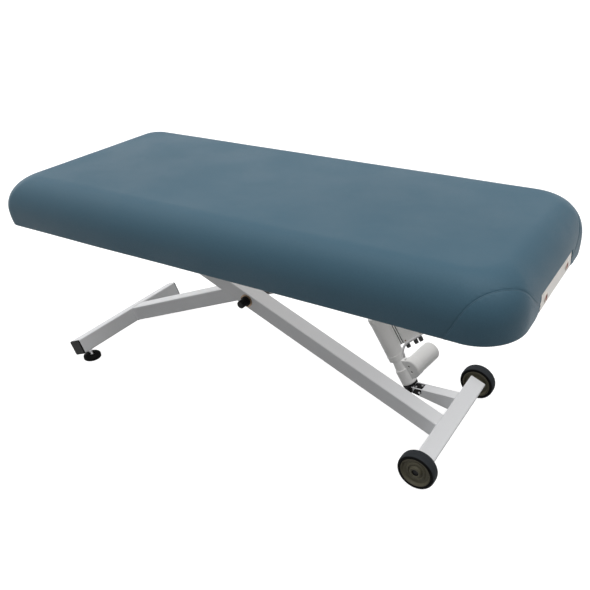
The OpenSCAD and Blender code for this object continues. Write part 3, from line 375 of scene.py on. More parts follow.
MATS = {
    "vinyl": vinyl("vinyl", (64, 94, 110)),
    "rail_wood": wood("rail_wood", (190, 178, 158), along=(1.5, 22.0, 22.0), rough=0.6, contrast=0.35),
    "plate_wood": wood("plate_wood", (250, 245, 238), along=(26.0, 2.2, 30.0), rough=0.42, contrast=0.07),
    "rim_bronze": plastic("rim_bronze", (150, 96, 84), 0.38, grain=900.0, edge=0.0006, coat=0.2),
    "frame_paint": powder_coat("frame_paint", (214, 215, 217)),
    "bright_steel": metal("bright_steel", (190, 190, 192), 0.3, brushed=(1.0, 1.0, 0.2)),
    "dark_steel": plastic("dark_steel", (16, 16, 17), 0.42, grain=900.0, edge=0.0006, shine=0.10),
    "bronze": metal("bronze", (128, 110, 92), 0.45),
    "black_plastic": plastic("black_plastic", (12, 12, 13), 0.4, grain=1200.0, depth=0.00008, edge=0.001,
                             shine=0.08),
    "black_rubber": rubber("black_rubber", (14, 14, 15), 0.6, dust=0.08),
    "roller_plastic": plastic("roller_plastic", (222, 221, 216), 0.4),
    # The tyre's tread gets a painted highlight in a paler colour
    "tyre_rubber": rubber("tyre_rubber", (8, 8, 8), 0.62, dust=0.07,
                          tread=((48, 51, 54), 0.0615, WHEELS["near"])),
    "hub_plastic": plastic("hub_plastic", (74, 71, 58), 0.5, grain=700.0, depth=0.00015, edge=0.001,
                           shine=0.14),
    "casing": plastic("casing", (230, 230, 229), 0.42, grain=1300.0, edge=0.0012, coat=0.05),
    "lead": plastic("lead", (196, 196, 197), 0.5, grain=1200.0, depth=0.00006),
}
SLOT_OF = {p["node"]: p["material_slot"] for p in frame["record"]["subparts"]}


def paint(obj, slot, mat=None):
    """Gives a piece the look of its slot, or a shade of it."""
    obj.data.materials.clear()
    obj.data.materials.append(mat or MATS[slot])


# Two pieces that are paler than the others of their slot
SHADES = {"box_plugs": plastic("plug_grey", (58, 58, 59), 0.5),
          "socket_rims": plastic("rim_pale", (232, 222, 212), 0.4)}
for name, obj in frame["nodes"].items():
    paint(obj, SLOT_OF[name], SHADES.get(name))


# ---------------------------------------------------------------- mesh helpers
# Angles in degrees past which an edge stays sharp
SHARP, TUBE_SHARP, SCREW_SHARP = 35.0, 60.0, 30.0
RIPPLE_PITCH = 0.004


def new_object(name, me):
    ob = bpy.data.objects.new(name, me)
    bpy.context.scene.collection.objects.link(ob)
    return ob


def finish_piece(name, verts, faces, slot, body, sharp=SHARP):
    """A mesh piece with smooth shading, sharp only past an angle, in its material and on its body."""
    me = bpy.data.meshes.new(name)
    me.from_pydata(verts, [], faces)
    bm = bmesh.new()
    bm.from_mesh(me)
    bmesh.ops.recalc_face_normals(bm, faces=bm.faces)
    bm.to_mesh(me)
    bm.free()
    for poly in me.polygons:
        poly.use_smooth = True
    me.set_sharp_from_angle(angle=math.radians(sharp))
    ob = new_object(name, me)
    paint(ob, slot)
    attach(ob, body)
    return ob


def lathe(name, profile, place, slot, body, steps):
    """A closed profile of (radius, height) turned about the place's Z axis."""
    verts, faces = [], []
    n = len(profile)
    for k in range(steps):
        a = math.tau * k / steps
        verts += [place @ Vector((r * math.cos(a), r * math.sin(a), h)) for r, h in profile]
    for k in range(steps):
        b = (k + 1) % steps
        for i in range(n):
            m = (i + 1) % n
            faces.append((k * n + i, b * n + i, b * n + m, k * n + m))
    return finish_piece(name, verts, faces, slot, body)


def tube_along(name, path, radius, slot, body, sides, closed=False, ripple=0.0):
    """A tube on a path of points; a ripple along it makes a weld bead."""
    n = len(path)
    verts, faces, run = [], [], 0.0
    side = None
    for k, p in enumerate(path):
        a = path[(k - 1) % n] if closed or k else p
        b = path[(k + 1) % n] if closed or k < n - 1 else p
        t = (b - a).normalized()
        side = (side - t * side.dot(t)).normalized() if side else t.orthogonal().normalized()
        up = t.cross(side)
        run += (p - path[k - 1]).length if k else 0.0
        r = radius * (1 + ripple * math.sin(math.tau * run / RIPPLE_PITCH))
        verts += [p + r * (math.cos(math.tau * i / sides) * side + math.sin(math.tau * i / sides) * up)
                  for i in range(sides)]
    for k in range(n if closed else n - 1):
        b = (k + 1) % n
        for i in range(sides):
            m = (i + 1) % sides
            faces.append((k * sides + i, k * sides + m, b * sides + m, b * sides + i))
    if not closed:
        faces += [tuple(range(sides)), tuple(range((n - 1) * sides, n * sides))]
    return finish_piece(name, verts, faces, slot, body, TUBE_SHARP)


def resample(points, step, closed=False):
    """Points a step apart on the polyline through the given ones."""
    pts = list(points) + ([points[0]] if closed else [])
    out = []
    for a, b in zip(pts, pts[1:]):
        m = max(1, round((b - a).length / step))
        out += [a.lerp(b, k / m) for k in range(m)]
    return out if closed else out + [pts[-1]]


def smooth_path(points, per):
    """A Catmull-Rom curve through the points."""
    pts = [points[0] * 2 - points[1]] + list(points) + [points[-1] * 2 - points[-2]]
    out = []
    for a, b, c, d in zip(pts, pts[1:], pts[2:], pts[3:]):
        for k in range(per):
            t = k / per
            out.append(0.5 * ((2 * b) + (c - a) * t + (2 * a - 5 * b + 4 * c - d) * t * t
                              + (3 * b - a - 3 * c + d) * t ** 3))
    return out + [points[-1]]


# ---------------------------------------------------------------- the padded top
TOP_LOW, TOP_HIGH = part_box("upholstery")
PLATE_LOW, PLATE_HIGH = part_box("head_plate")
HALF_L, HALF_W, SKIRT_Z = TOP_HIGH.x, TOP_HIGH.y, TOP_LOW.z
# The shoulder between side and top, and the height of the crown in the middle
SHOULDER_H, SHOULDER_W, CROWN = 0.120, 0.090, 0.005
SIDE_H = TOP_HIGH.z - SHOULDER_H - SKIRT_Z
# Corner radii in plan at the widest row, and their change with a row's inset
HEAD_R, FOOT_R = 0.136, 0.034
HEAD_R_FALL, FOOT_R_RISE = 0.5, 0.25
# The sides are drawn in above the hem, which is round, hangs below the skirt and turns in under it
SIDE_DRAW = 0.0035
HEM_R, HEM_DROP, HEM_STEPS, HEM_HIDDEN = 0.0080, 0.0018, 8, 2
HEM_IN, HEM_IN_DROP = 0.030, 0.8
# The inner wall, and the lip below the rails: inset, width, thickness, roundness and how far it tucks back
WALL, WALL_UP = 0.0352, 0.130
LIP_W, LIP_T, LIP_ROUND, LIP_TUCK = 0.0160, 0.0020, 0.0004, 0.002
# The innermost row, and the numbers of rows
INNER_L, INNER_W = 0.60, 0.04
SHOULDER_ROWS, CROWN_ROWS, SIDE_ROWS = 22, 16, 8
# The hem hangs lower towards the head, but not under the wooden plate, and fades upwards
DROOP, DROOP_MORE, DROOP_FROM, DROOP_OVER, DROOP_UP = 0.0025, 0.0040, 0.50, 0.36, 0.050
FLAT_FROM, FLAT_RUN, FLAT_OVER = 0.80, 0.10, 0.030
# The foot end swells outwards
FOOT_SWELL, FOOT_FROM, FOOT_OVER = 0.0055, -0.70, 0.18
# A vertex that is sculpted is at least this much on the outside
OUTSIDE = 0.99
# Steps round the corners, along the sides, and along the two ends
HEAD_STEPS, FOOT_STEPS = 36, 16
RUN_STEPS = (130, 56, 130, 44)
# The seams' grooves: depth, width, the cuts beside them, and what counts as near them
SEAM_DEPTH, SEAM_W = 0.0014, 0.0015
SEAM_CUTS = (-0.006, -0.003, -0.0016, -0.0008, 0.0, 0.0008, 0.0016, 0.003, 0.006)
SEAM_FROM_X, SEAM_ROOM, SEAM_WELD = 0.70, 0.01, 1e-5
# The cover's pull beside a seam, the puckers in it, and the foam's long and short unevenness
PULL_W, PULL_DEPTH = 0.012, 0.0007
PUCKER, PUCKER_PITCH, PUCKER_SLANT, PUCKER_FADE = 0.00035, 0.021, 1.3, 0.002
LONG_SCALE, LONG_H, LONG_FROM = 3.1, 0.0010, Vector((3.0, 1.0, 2.0))
SHORT_SCALE, SHORT_H = 11.0, 0.00025
# The opening round the wooden plate: clearance, depth of its turned-in edge, how far it reaches from the end
SLOT_GAP, SLOT_IN, SLOT_REACH, SLOT_WELD = 0.0004, 0.012, 0.03, 1e-6
# Vertices that tell one face from all others
TELLING = 3


def cover_rows():
    """Rows of the cover from the inner wall round the hem and over the shoulder to the crown: (half length,
    half width, head corner radius, foot corner radius, height, 1 on the outside and 0 inside)."""
    rows = []

    def row(inset, up, outer=1.0):
        rows.append((HALF_L - inset, HALF_W - inset, HEAD_R - HEAD_R_FALL * inset,
                     FOOT_R + FOOT_R_RISE * inset, up, outer))

    lip = WALL + LIP_W
    for inset, up in ((WALL, WALL_UP), (WALL, LIP_T), (lip, LIP_T), (lip + LIP_ROUND, LIP_T / 2),
                      (lip - LIP_TUCK, 0.0), (HEM_IN, -HEM_DROP * HEM_IN_DROP)):
        row(inset, up, 0.0)
    for k in range(HEM_STEPS + 1):
        a = math.radians(90 * k / HEM_STEPS)
        row(SIDE_DRAW + HEM_R * (1 - math.sin(a)), HEM_R * (1 - math.cos(a)) - HEM_DROP,
            0.0 if k < HEM_HIDDEN else 1.0)
    for k in range(1, SIDE_ROWS):
        t = k / SIDE_ROWS
        row(SIDE_DRAW * (1 - t) ** 2, (HEM_R - HEM_DROP) * (1 - t) + SIDE_H * t)
    for k in range(SHOULDER_ROWS + 1):
        a = math.radians(90 * k / SHOULDER_ROWS)
        inset = SHOULDER_W * (1 - math.cos(a))
        row(inset, SIDE_H + (SHOULDER_H - CROWN) * math.sin(a) + crown(inset))
    l0, w0, h0, f0 = rows[-1][:4]
    for k in range(1, CROWN_ROWS + 1):
        t = k / CROWN_ROWS
        half_w = w0 + (INNER_W - w0) * t
        rows.append((l0 + (INNER_L - l0) * t, half_w, h0 + (INNER_W - h0) * t, f0 + (INNER_W - f0) * t,
                     SIDE_H + SHOULDER_H - CROWN + crown(HALF_W - half_w), 1.0))
    return rows


def smooth(t):
    """A smooth step from 0 to 1."""
    t = min(1.0, max(0.0, t))
    return t * t * (3 - 2 * t)


def droop(x, y, up):
    """How far the hem hangs lower, most at the head corners and not at all under the wooden plate."""
    more = smooth((x - DROOP_FROM) / DROOP_OVER)
    flat = smooth((x - FLAT_FROM) / FLAT_RUN) * (1 - smooth((abs(y) - PLATE_HIGH.y) / FLAT_OVER))
    return (DROOP + DROOP_MORE * more) * (1 - flat) * min(1.0, max(0.0, 1 - up / DROOP_UP))


def crown(inset):
    """Height of the crown at an inset from the side."""
    return CROWN * math.sin(math.pi / 2 * inset / (HALF_W - INNER_W)) if inset > 0 else 0.0


def cover_ring(half_l, half_w, head_r, foot_r):
    """Points round a rounded rectangle, the same number of them for every size."""
    corners = ((1, 1, head_r, 0, HEAD_STEPS), (-1, 1, foot_r, 90, FOOT_STEPS),
               (-1, -1, foot_r, 180, FOOT_STEPS), (1, -1, head_r, 270, HEAD_STEPS))
    arcs = []
    for sx, sy, r, start, steps in corners:
        cx, cy = sx * (half_l - r), sy * (half_w - r)
        turns = [math.radians(start + 90 * k / steps) for k in range(steps + 1)]
        arcs.append([(cx + r * math.cos(a), cy + r * math.sin(a)) for a in turns])
    out = []
    for arc, after, m in zip(arcs, arcs[1:] + arcs[:1], RUN_STEPS):
        out += arc
        (ax, ay), (bx, by) = arc[-1], after[0]
        out += [(ax + (bx - ax) * k / m, ay + (by - ay) * k / m) for k in range(1, m)]
    return out


def build_cover():
    """The vinyl cover as one mesh: its rows, the seams, the opening for the plate, and the sculpting."""
    rows = cover_rows()
    rings = [cover_ring(*r[:4]) for r in rows]
    n = len(rings[0])
    bm = bmesh.new()
    outer = bm.verts.layers.float.new("outer")
    grid = []
    for ring, (*_, up, outside) in zip(rings, rows):
        line = []
        for x, y in ring:
            swell = FOOT_SWELL * smooth((FOOT_FROM - x) / FOOT_OVER)
            v = bm.verts.new((x - swell, y, SKIRT_Z + up - droop(x, y, up)))
            v[outer] = outside
            line.append(v)
        grid.append(line)
    for a, b in zip(grid, grid[1:]):
        for k in range(n):
            bm.faces.new((a[k], a[(k + 1) % n], b[(k + 1) % n], b[k]))
    bm.faces.new(grid[-1])
    bmesh.ops.triangulate(bm, faces=[f for f in bm.faces if len(f.verts) > 4])
    bend(bm, 1)
    for side in (-1, 1):
        cut_seam(bm, side)
    bend(bm, -1)
    cut_plate_slot(bm)
    bmesh.ops.recalc_face_normals(bm, faces=bm.faces)
    bm.normal_update()
    sculpt(bm, outer)
    settle(bm)
    me = bpy.data.meshes.new("top_cover")
    bm.to_mesh(me)
    bm.free()
    for poly in me.polygons:
        poly.use_smooth = True
    return new_object("top_cover", me)


def seam_bow(y, z):
    """How far the seam's plane is bowed at a place."""
    return sum(bow * ((v - mid) / span) ** 2 for v, (mid, span, bow) in zip((abs(y), z), SEAM_BOW))


def bend(bm, way):
    """Bends the cover so that the seams lie in planes, or back."""
    for v in bm.verts:
        v.co.x += way * seam_bow(v.co.y, v.co.z)


def with_edges(faces):
    """The faces with their edges and vertices, as a cut takes them."""
    edges = dict.fromkeys(e for f in faces for e in f.edges)
    verts = dict.fromkeys(v for f in faces for v in f.verts)
    return [*faces, *edges, *verts]


def cut_seam(bm, side):
    """Edge loops along a head corner's seam, close enough together to hold its groove."""
    normal = Vector((SEAM_NORMAL.x, side * SEAM_NORMAL.y, SEAM_NORMAL.z))
    for off in SEAM_CUTS:
        faces = []
        for f in bm.faces:
            c = f.calc_center_median()
            if (c.x - seam_bow(c.y, c.z) > SEAM_FROM_X and side * c.y > SEAM_FROM_Y - SEAM_ROOM
                    and c.z > SKIRT_Z - SEAM_ROOM):
                faces.append(f)
        at = normal * ((SEAM_OFFSET + off * normal.length) / normal.length_squared)
        bmesh.ops.bisect_plane(bm, geom=with_edges(faces), plane_co=at, plane_no=normal, dist=SEAM_WELD)


def seam_distance(co):
    """Distance from the nearer seam's bowed plane."""
    bent = Vector((co.x + seam_bow(co.y, co.z), abs(co.y), co.z))
    return (SEAM_NORMAL.dot(bent) - SEAM_OFFSET) / SEAM_NORMAL.length


def sculpt(bm, outer):
    """Presses the seams in, with puckers beside them, and gives the foam slow unevenness."""
    for v in bm.verts:
        if v[outer] < OUTSIDE:
            continue
        co, push = v.co, 0.0
        if co.x > SEAM_FROM_X and abs(co.y) > SEAM_FROM_Y:
            f = seam_distance(co)
            push -= SEAM_DEPTH * math.exp(-(f / SEAM_W) ** 2)
            pull = math.exp(-(f / PULL_W) ** 2)
            push -= PULL_DEPTH * pull
            wave = math.sin(math.tau * (co.z * PUCKER_SLANT + co.y) / PUCKER_PITCH)
            push += PUCKER * pull * wave * min(1.0, abs(f) / PUCKER_FADE)
        wide = noise.noise(co * LONG_SCALE + LONG_FROM) * LONG_H
        push += wide + noise.noise(co * SHORT_SCALE) * SHORT_H
        v.co = co + v.normal * push


def cut_plate_slot(bm):
    """Opens the cover at the head end round the wooden plate, and turns its edge inwards."""
    front = HALF_L - SLOT_REACH
    y1, z0, z1 = PLATE_HIGH.y + SLOT_GAP, PLATE_LOW.z - SLOT_GAP, PLATE_HIGH.z + SLOT_GAP
    planes = [((0, s * y1, 0), (0, 1, 0)) for s in (-1, 1)] + [((0, 0, z), (0, 0, 1)) for z in (z0, z1)]
    for at, normal in planes:
        faces = [f for f in bm.faces if all(v.co.x > front for v in f.verts)]
        bmesh.ops.bisect_plane(bm, geom=with_edges(faces), plane_co=at, plane_no=normal, dist=SLOT_WELD)
    inside = [f for f in bm.faces if all(v.co.x > front for v in f.verts)
              and abs(f.calc_center_median().y) < y1 and z0 < f.calc_center_median().z < z1]
    taken, edges = set(inside), dict.fromkeys(e for f in inside for e in f.edges)
    rim = [e for e in edges if any(f not in taken for f in e.link_faces)]
    bmesh.ops.delete(bm, geom=inside, context="FACES")
    made = bmesh.ops.extrude_edge_only(bm, edges=[e for e in rim if e.is_valid])
    for v in (g for g in made["geom"] if isinstance(g, bmesh.types.BMVert)):
        v.co.x -= SLOT_IN


def settle(bm):
    """Puts the faces in an order that is the same each run, by their lowest vertices."""
    bm.verts.index_update()
    n = len(bm.verts)

    def rank(face):
        lowest = sorted(v.index for v in face.verts)[:TELLING]
        return sum(at * n ** k for k, at in enumerate(lowest))

    bm.faces.sort(key=rank)


top = build_cover()
paint(top, "vinyl")
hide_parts("upholstery")
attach(top, "top")


# ---------------------------------------------------------------- wheels
# Profiles of (radius, height over the middle plane, outwards) in millimetres, for a wheel of the width below
MM, PROFILE_W = 0.001, 35.0
TYRE_HALF = ((51.1, 15.8), (52.2, 17.1), (54.6, 17.3), (55.2, 16.7), (55.9, 17.3), (57.4, 17.1), (60.0, 15.7),
             (62.0, 13.0), (63.1, 9.5), (63.4, 6.0), (63.45, 4.6), (62.9, 4.3), (62.9, 3.7), (63.45, 3.4))
HUB = ((6.4, -17.4), (18.2, -17.4), (20.5, -13.6), (28.6, -9.0), (42.0, -9.0), (44.2, -16.6), (45.4, -17.4),
       (49.8, -17.4), (50.8, -16.4), (50.8, 15.6), (50.0, 16.6), (48.4, 16.8), (47.4, 15.8), (46.6, 14.2),
       (44.6, 10.6), (43.0, 9.4), (33.4, 8.8), (32.2, 9.6), (31.4, 11.4), (26.8, 12.2), (25.6, 11.0),
       (24.6, 9.4), (21.6, 9.2), (20.6, 10.4), (19.6, 14.8), (18.2, 16.6), (16.6, 17.2), (13.0, 17.2),
       (12.0, 16.6), (11.6, 15.6), (11.4, 7.6), (6.4, 7.6))
AXLE_CAP = ((0.4, 7.8), (11.3, 7.8), (11.3, 15.4), (10.6, 15.4), (10.0, 11.0), (7.0, 10.2), (6.2, 12.4),
            (0.4, 12.6))
TYRE_STEPS, HUB_STEPS, CAP_STEPS = 128, 96, 48


def metres(profile, high=MM):
    """A profile in metres, with its heights scaled by their own factor."""
    return [(r * MM, h * high) for r, h in profile]


def wheel(side):
    """A wheel's tyre, hub and axle cap, as wide as the tyre of the frame."""
    out, body = -1 if side == "near" else 1, "wheel_" + side
    place = Matrix.Translation(WHEELS[side]) @ Matrix.Rotation(-out * math.pi / 2, 4, "X")
    low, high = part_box("tyre_" + side)
    wide = (high.y - low.y) / PROFILE_W
    half = metres(TYRE_HALF, wide)
    ring = half + [(r, -h) for r, h in reversed(half)]
    tyre = lathe("tyre_%s_ring" % side, ring, place, "tyre_rubber", body, TYRE_STEPS)
    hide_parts("tyre_" + side)
    hub = lathe("hub_%s_disc" % side, metres(HUB, wide), place, "hub_plastic", body, HUB_STEPS)
    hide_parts("hub_" + side)
    lathe("axle_cap_" + side, metres(AXLE_CAP, wide), place, "black_plastic", body, CAP_STEPS)


for side in ("near", "far"):
    wheel(side)


# ---------------------------------------------------------------- weld beads
WELD_R, WELD_STEP, WELD_RIPPLE, WELD_SIDES = 0.0017, 0.0011, 0.16, 8
TUBE_CORNER, CORNER_STEPS = 0.005, 4
ARM_W, ARM_Y = 0.040, ACT_LOW.y
# Distances of the beams' upper ends from the centre pivot
UPPER_NEAR, UPPER_FAR = (math.hypot(at[0] - PIVOT.x, at[2] - PIVOT.z)
                         for at in (JOINTS[k]["pos_m"] for k in ("top_hinge", "roller_near_spin")))


def section_path(place, x, y, half_w, half_h, corner):
    """The outline of a tube's section, square to the frame's X axis."""
    pts = []
    for sy, sz, start in ((1, 1, 0), (-1, 1, 90), (-1, -1, 180), (1, -1, 270)):
        for k in range(CORNER_STEPS + 1):
            a = math.radians(start + 90 * k / CORNER_STEPS)
            pts.append(place @ Vector((x, y + sy * (half_w - corner) + corner * math.cos(a),
                                       sz * (half_h - corner) + corner * math.sin(a))))
    return pts


def weld(name, place, x, y, half_w, body):
    """A bead round the end of a tube."""
    path = resample(section_path(place, x, y, half_w, TUBE / 2, TUBE_CORNER), WELD_STEP, closed=True)
    tube_along("weld_" + name, path, WELD_R, "frame_paint", body, WELD_SIDES, closed=True, ripple=WELD_RIPPLE)


weld("near_low", ON_NEAR, ARM - TUBE / 2, NEAR_Y, TUBE / 2, "near_beam_body")
weld("near_high", ON_NEAR, TUBE / 2 - UPPER_NEAR, NEAR_Y, TUBE / 2, "near_beam_body")
weld("far_low", ON_FAR, TUBE / 2 - ARM, FAR_Y, TUBE / 2, "far_beam_body")
weld("far_high", ON_FAR, UPPER_FAR - TUBE / 2, FAR_Y, TUBE / 2, "far_beam_body")
weld("arm", ON_NEAR, ARM - TUBE / 2, ARM_Y, ARM_W / 2, "near_beam_body")


# ---------------------------------------------------------------- foot pads
# Profile of (radius, height) in millimetres
PAD = ((9.5, 1.2), (29.0, 1.2), (30.5, 0.0), (33.0, 0.0), (34.0, 1.0), (34.0, 9.6), (33.2, 12.4),
       (30.5, 14.8), (25.0, 16.6), (18.5, 18.0), (15.0, 19.0), (12.0, 19.0), (11.2, 18.2), (9.5, 14.0))
PAD_STEPS = 72

for side in ("near", "far"):
    low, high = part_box("foot_pad_" + side)
    place = Matrix.Translation(((low.x + high.x) / 2, (low.y + high.y) / 2, low.z))
    pad = lathe("foot_pad_%s_dome" % side, metres(PAD), place, "black_rubber", BODY_OF["foot_pad_" + side],
                PAD_STEPS)
    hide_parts("foot_pad_" + side)


# ---------------------------------------------------------------- threads of the levelling studs
# Radius, pitch, depth each way, and how much thinner the core is
STUD_R, STUD_PITCH, THREAD, CORE_IN, STUD_STEPS = 0.0052, 0.0015, 0.0003, 0.0012, 40
# Places along the foot bar, and what the thread leaves free at its two ends
STUD_IN, FOOT_BAR_HALF, FOOT_BAR_Y = 0.040, 0.272, 0.014
NUT_T, BALL_TOP = 0.007, 0.008
LIFT_AT = Vector(JOINTS["lift"]["pos_m"])
STUD_LEN = (WHEELS["near"].z - LIFT_AT.z) / math.cos(LIFT)


def stud_thread(side, name):
    """A thread as rings, between the nut under the foot bar and the ball end."""
    place = ON_FAR @ Matrix.Translation((-ARM, FOOT_BAR_Y + side * (FOOT_BAR_HALF - STUD_IN), 0))
    low, high = -STUD_LEN + BALL_TOP, -TUBE / 2 - NUT_T
    turns = int((high - low) / STUD_PITCH)
    end = low + STUD_PITCH * turns
    prof = [(STUD_R - CORE_IN, low)]
    for k in range(turns):
        z = low + STUD_PITCH * k
        prof += [(STUD_R - THREAD, z), (STUD_R + THREAD, z + STUD_PITCH / 2)]
    prof += [(STUD_R - THREAD, end), (STUD_R - CORE_IN, end)]
    lathe("stud_thread_" + name, prof, place, "bright_steel", "far_beam_body", STUD_STEPS)


stud_thread(-1, "near")
stud_thread(1, "far")


# ---------------------------------------------------------------- actuator details
# The control box: its turn about the spindle, the face with the screws, its near side, width, foot and length
BOX_TURN, BOX_FACE, BOX_START, BOX_W = math.radians(37), 0.009, 0.046, 0.082
BOX_FROM, BOX_LEN = 0.156, 0.105
# Its screws: radius and height of the heads, and their distances from the two sides and from foot and top
SCREW_R, SCREW_H = 0.0026, 0.0014
SCREW_NEAR_SIDE, SCREW_FAR_SIDE, SCREW_UP = 0.008, 0.016, 0.009
# The gear cover's turn and place, and the two screws in its holes, with their height as a share of the depth
MOTOR_OFF, MOTOR_UP, MOTOR_TURN, COVER_FRONT = 0.043, 0.071, math.radians(78), 0.016
HOLE_R, HOLE_GAP, HOLE_IN, HOLE_FILL = 0.0043, 0.023, 0.0035, 0.6
# Dark strips on the box's mount, painted shade for the gaps beside the tube and the box: the mount's face,
# their places on it, radius, distance from its ends, and mesh
MOUNT_FACE, SHADE_LINES, SHADE_LINE_R, SHADE_LINE_IN = 0.0032, (0.0360, 0.0433), 0.0013, 0.002
SHADE_LINE_STEP, SHADE_LINE_SIDES = 0.010, 12
# Route of the motor lead, as in the part's source
LEAD_R, LEAD_BEAD, SEAT, LEAD_SIDES, LEAD_CURVE = 0.0042, 0.00015, 0.0003, 16, 4
GLAND_SIDE, GLAND_FRONT, GLAND_Z = 0.025, 0.026, 0.1125
LEAD_END_SIDE, LEAD_END_H = 0.112, 0.004
LEAD_ALONG = (0, 0.017, 0.07, 0.17, 0.31, 0.52, 0.77, 1)
LEAD_BACK = (0, 0.11, 0.37, 0.74, 1, 1, 1, 1)
LEAD_UP = (0, 0.32, 0.57, 0.76, 0.875, 0.93, 0.966, 1)


def beside_box(along, front, up):
    """A point beside the control box, in the world: along its face, in front of the spindle, and up it."""
    c, s = math.cos(BOX_TURN), math.sin(BOX_TURN)
    return ON_ACT @ Vector((along * c + front * s, along * s - front * c, up))


def motor_lead():
    """The lead from the gland on the gear housing up into the control box."""
    start_z = GLAND_Z + SEAT + LEAD_R + LEAD_BEAD
    end_front = BOX_FACE + SEAT + LEAD_R + LEAD_BEAD
    pts = [beside_box(GLAND_SIDE + (LEAD_END_SIDE - GLAND_SIDE) * a,
                      GLAND_FRONT + (end_front - GLAND_FRONT) * b,
                      start_z + (BOX_FROM + LEAD_END_H - start_z) * u)
           for a, b, u in zip(LEAD_ALONG, LEAD_BACK, LEAD_UP)]
    path = smooth_path(pts, LEAD_CURVE)
    lead = tube_along("motor_lead_sheath", path, LEAD_R, "lead", "actuator", LEAD_SIDES)
    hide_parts("motor_lead")


motor_lead()


# Rings of a screw's head, as shares of its radius and height, and whether they are hexagonal
SCREW_RINGS = ((1.0, 0.0, False), (1.0, 0.45, False), (0.92, 0.8, False), (0.74, 1.0, False),
               (0.5, 1.0, True), (0.46, 0.9, True), (0.46, 0.25, True))
SCREW_STEPS = 36


def hexagon(a):
    """Radius of a hexagon at an angle, as a share of its corners' radius."""
    return math.cos(math.pi / 6) / math.cos((a + math.pi / 6) % (math.pi / 3) - math.pi / 6)


def screw(name, at, normal, slot, body, r=SCREW_R, h=SCREW_H):
    """A pan head with a hexagonal socket."""
    place = Matrix.Translation(at) @ Vector(normal).to_track_quat("Z", "Y").to_matrix().to_4x4()
    n = SCREW_STEPS
    verts, faces = [], []
    for share, up, hexed in SCREW_RINGS:
        for k in range(n):
            a = math.tau * k / n
            f = hexagon(a) if hexed else 1.0
            verts.append(place @ Vector((r * share * f * math.cos(a), r * share * f * math.sin(a), h * up)))
    for i in range(len(SCREW_RINGS) - 1):
        for k in range(n):
            b = (k + 1) % n
            faces.append((i * n + k, i * n + b, (i + 1) * n + b, (i + 1) * n + k))
    faces += [tuple(range(n)), tuple(range(len(verts) - n, len(verts)))]
    finish_piece(name, verts, faces, slot, body, SCREW_SHARP)


def box_screws():
    """Four screws in a face of the control box."""
    face = beside_box(0, 1, 0) - beside_box(0, 0, 0)
    for i, along in enumerate((BOX_START + SCREW_NEAR_SIDE, BOX_START + BOX_W - SCREW_FAR_SIDE)):
        for k, up in enumerate((BOX_FROM + SCREW_UP, BOX_FROM + BOX_LEN - SCREW_UP)):
            screw("box_screw_%d%d" % (i, k), beside_box(along, BOX_FACE, up), face, "bronze", "actuator")


def cover_screws():
    """Dark screws at the bottom of the two holes in the gear cover."""
    place = (ON_ACT @ Matrix.Translation((MOTOR_OFF, 0, MOTOR_UP)) @ Matrix.Rotation(MOTOR_TURN, 4, "Z")
             @ Matrix.Rotation(math.pi / 2, 4, "Y"))
    out = -place.col[2].to_3d()
    for i, x in enumerate((-HOLE_GAP / 2, HOLE_GAP / 2)):
        screw("cover_screw_%d" % i, place @ Vector((x, 0, HOLE_IN - COVER_FRONT)), out, "black_plastic",
              "actuator", HOLE_R, HOLE_IN * HOLE_FILL)


def mount_shade_lines():
    """Two dark strips up the mount between the tube and the control box, painted shade for the gaps there."""
    ends = (BOX_FROM + SHADE_LINE_IN, BOX_FROM + BOX_LEN - SHADE_LINE_IN)
    for i, along in enumerate(SHADE_LINES):
        path = resample([beside_box(along, MOUNT_FACE, up) for up in ends], SHADE_LINE_STEP)
        # Black strips as painted shade in the gaps
        tube_along("mount_shade_line_%d" % i, path, SHADE_LINE_R, "black_rubber", "actuator", SHADE_LINE_SIDES)


# ---------------------------------------------------------------- the arm's tip
# Half height of the arm's end, its wall, and its axis in the near beam's frame: the actuator's pin, and where
# the arm meets the wheel bar
ARM_TIP_R, ARM_WALL = 0.010, 0.004
ARM_PIN, ARM_ROOT = ON_NEAR.inverted() @ ACT_LOW, ARM - TUBE / 2
# The block: where it starts and ends, from the pin, and how far inside the arm's lower and upper edge it is
TIP_FROM, TIP_TO, BLOCK_LOW, BLOCK_HIGH = 0.0070, 0.037, 0.003, 0.0015
# The side plates: where they start, how thick they are, how far inside the edges they stay, their point
SKIN_FROM, SKIN_T, SKIN_IN, SKIN_POINT = 0.0145, 0.0003, 0.0006, 0.006
# The bolts: radius and height of the heads, and their places
SIDE_BOLT, SIDE_BOLT_MID, SIDE_BOLT_ALONG, SIDE_BOLT_UP = (0.0042, 0.0026), 0.004, 0.006, 0.003
TOP_BOLT, TOP_BOLTS = (0.0040, 0.0024), ((0.007, -0.007), (-0.006, 0.006))
SOFT_EDGE, SOFT_STEPS = 0.0006, 2


def prism(name, outline, y0, y1, place, slot, body):
    """A flat outline of (x, z) points between two places across, with soft edges."""
    n = len(outline)
    verts = [place @ Vector((x, y, z)) for y in (y0, y1) for x, z in outline]
    faces = [tuple(range(n)), tuple(range(n, 2 * n))]
    faces += [(k, (k + 1) % n, n + (k + 1) % n, n + k) for k in range(n)]
    ob = finish_piece(name, verts, faces, slot, body)
    soft = ob.modifiers.new("edges", "BEVEL")
    soft.width, soft.segments, soft.limit_method = SOFT_EDGE, SOFT_STEPS, "ANGLE"


def arm_edge(x, side, inset=0.0):
    """Height of the arm's upper (1) or lower (-1) edge or its middle (0), at a place along the near beam."""
    t = (x - ARM_PIN.x) / (ARM_ROOT - ARM_PIN.x)
    return side * ((ARM_TIP_R - inset) * (1 - t) + (TUBE / 2 - inset) * t) + ARM_PIN.z * (1 - t)


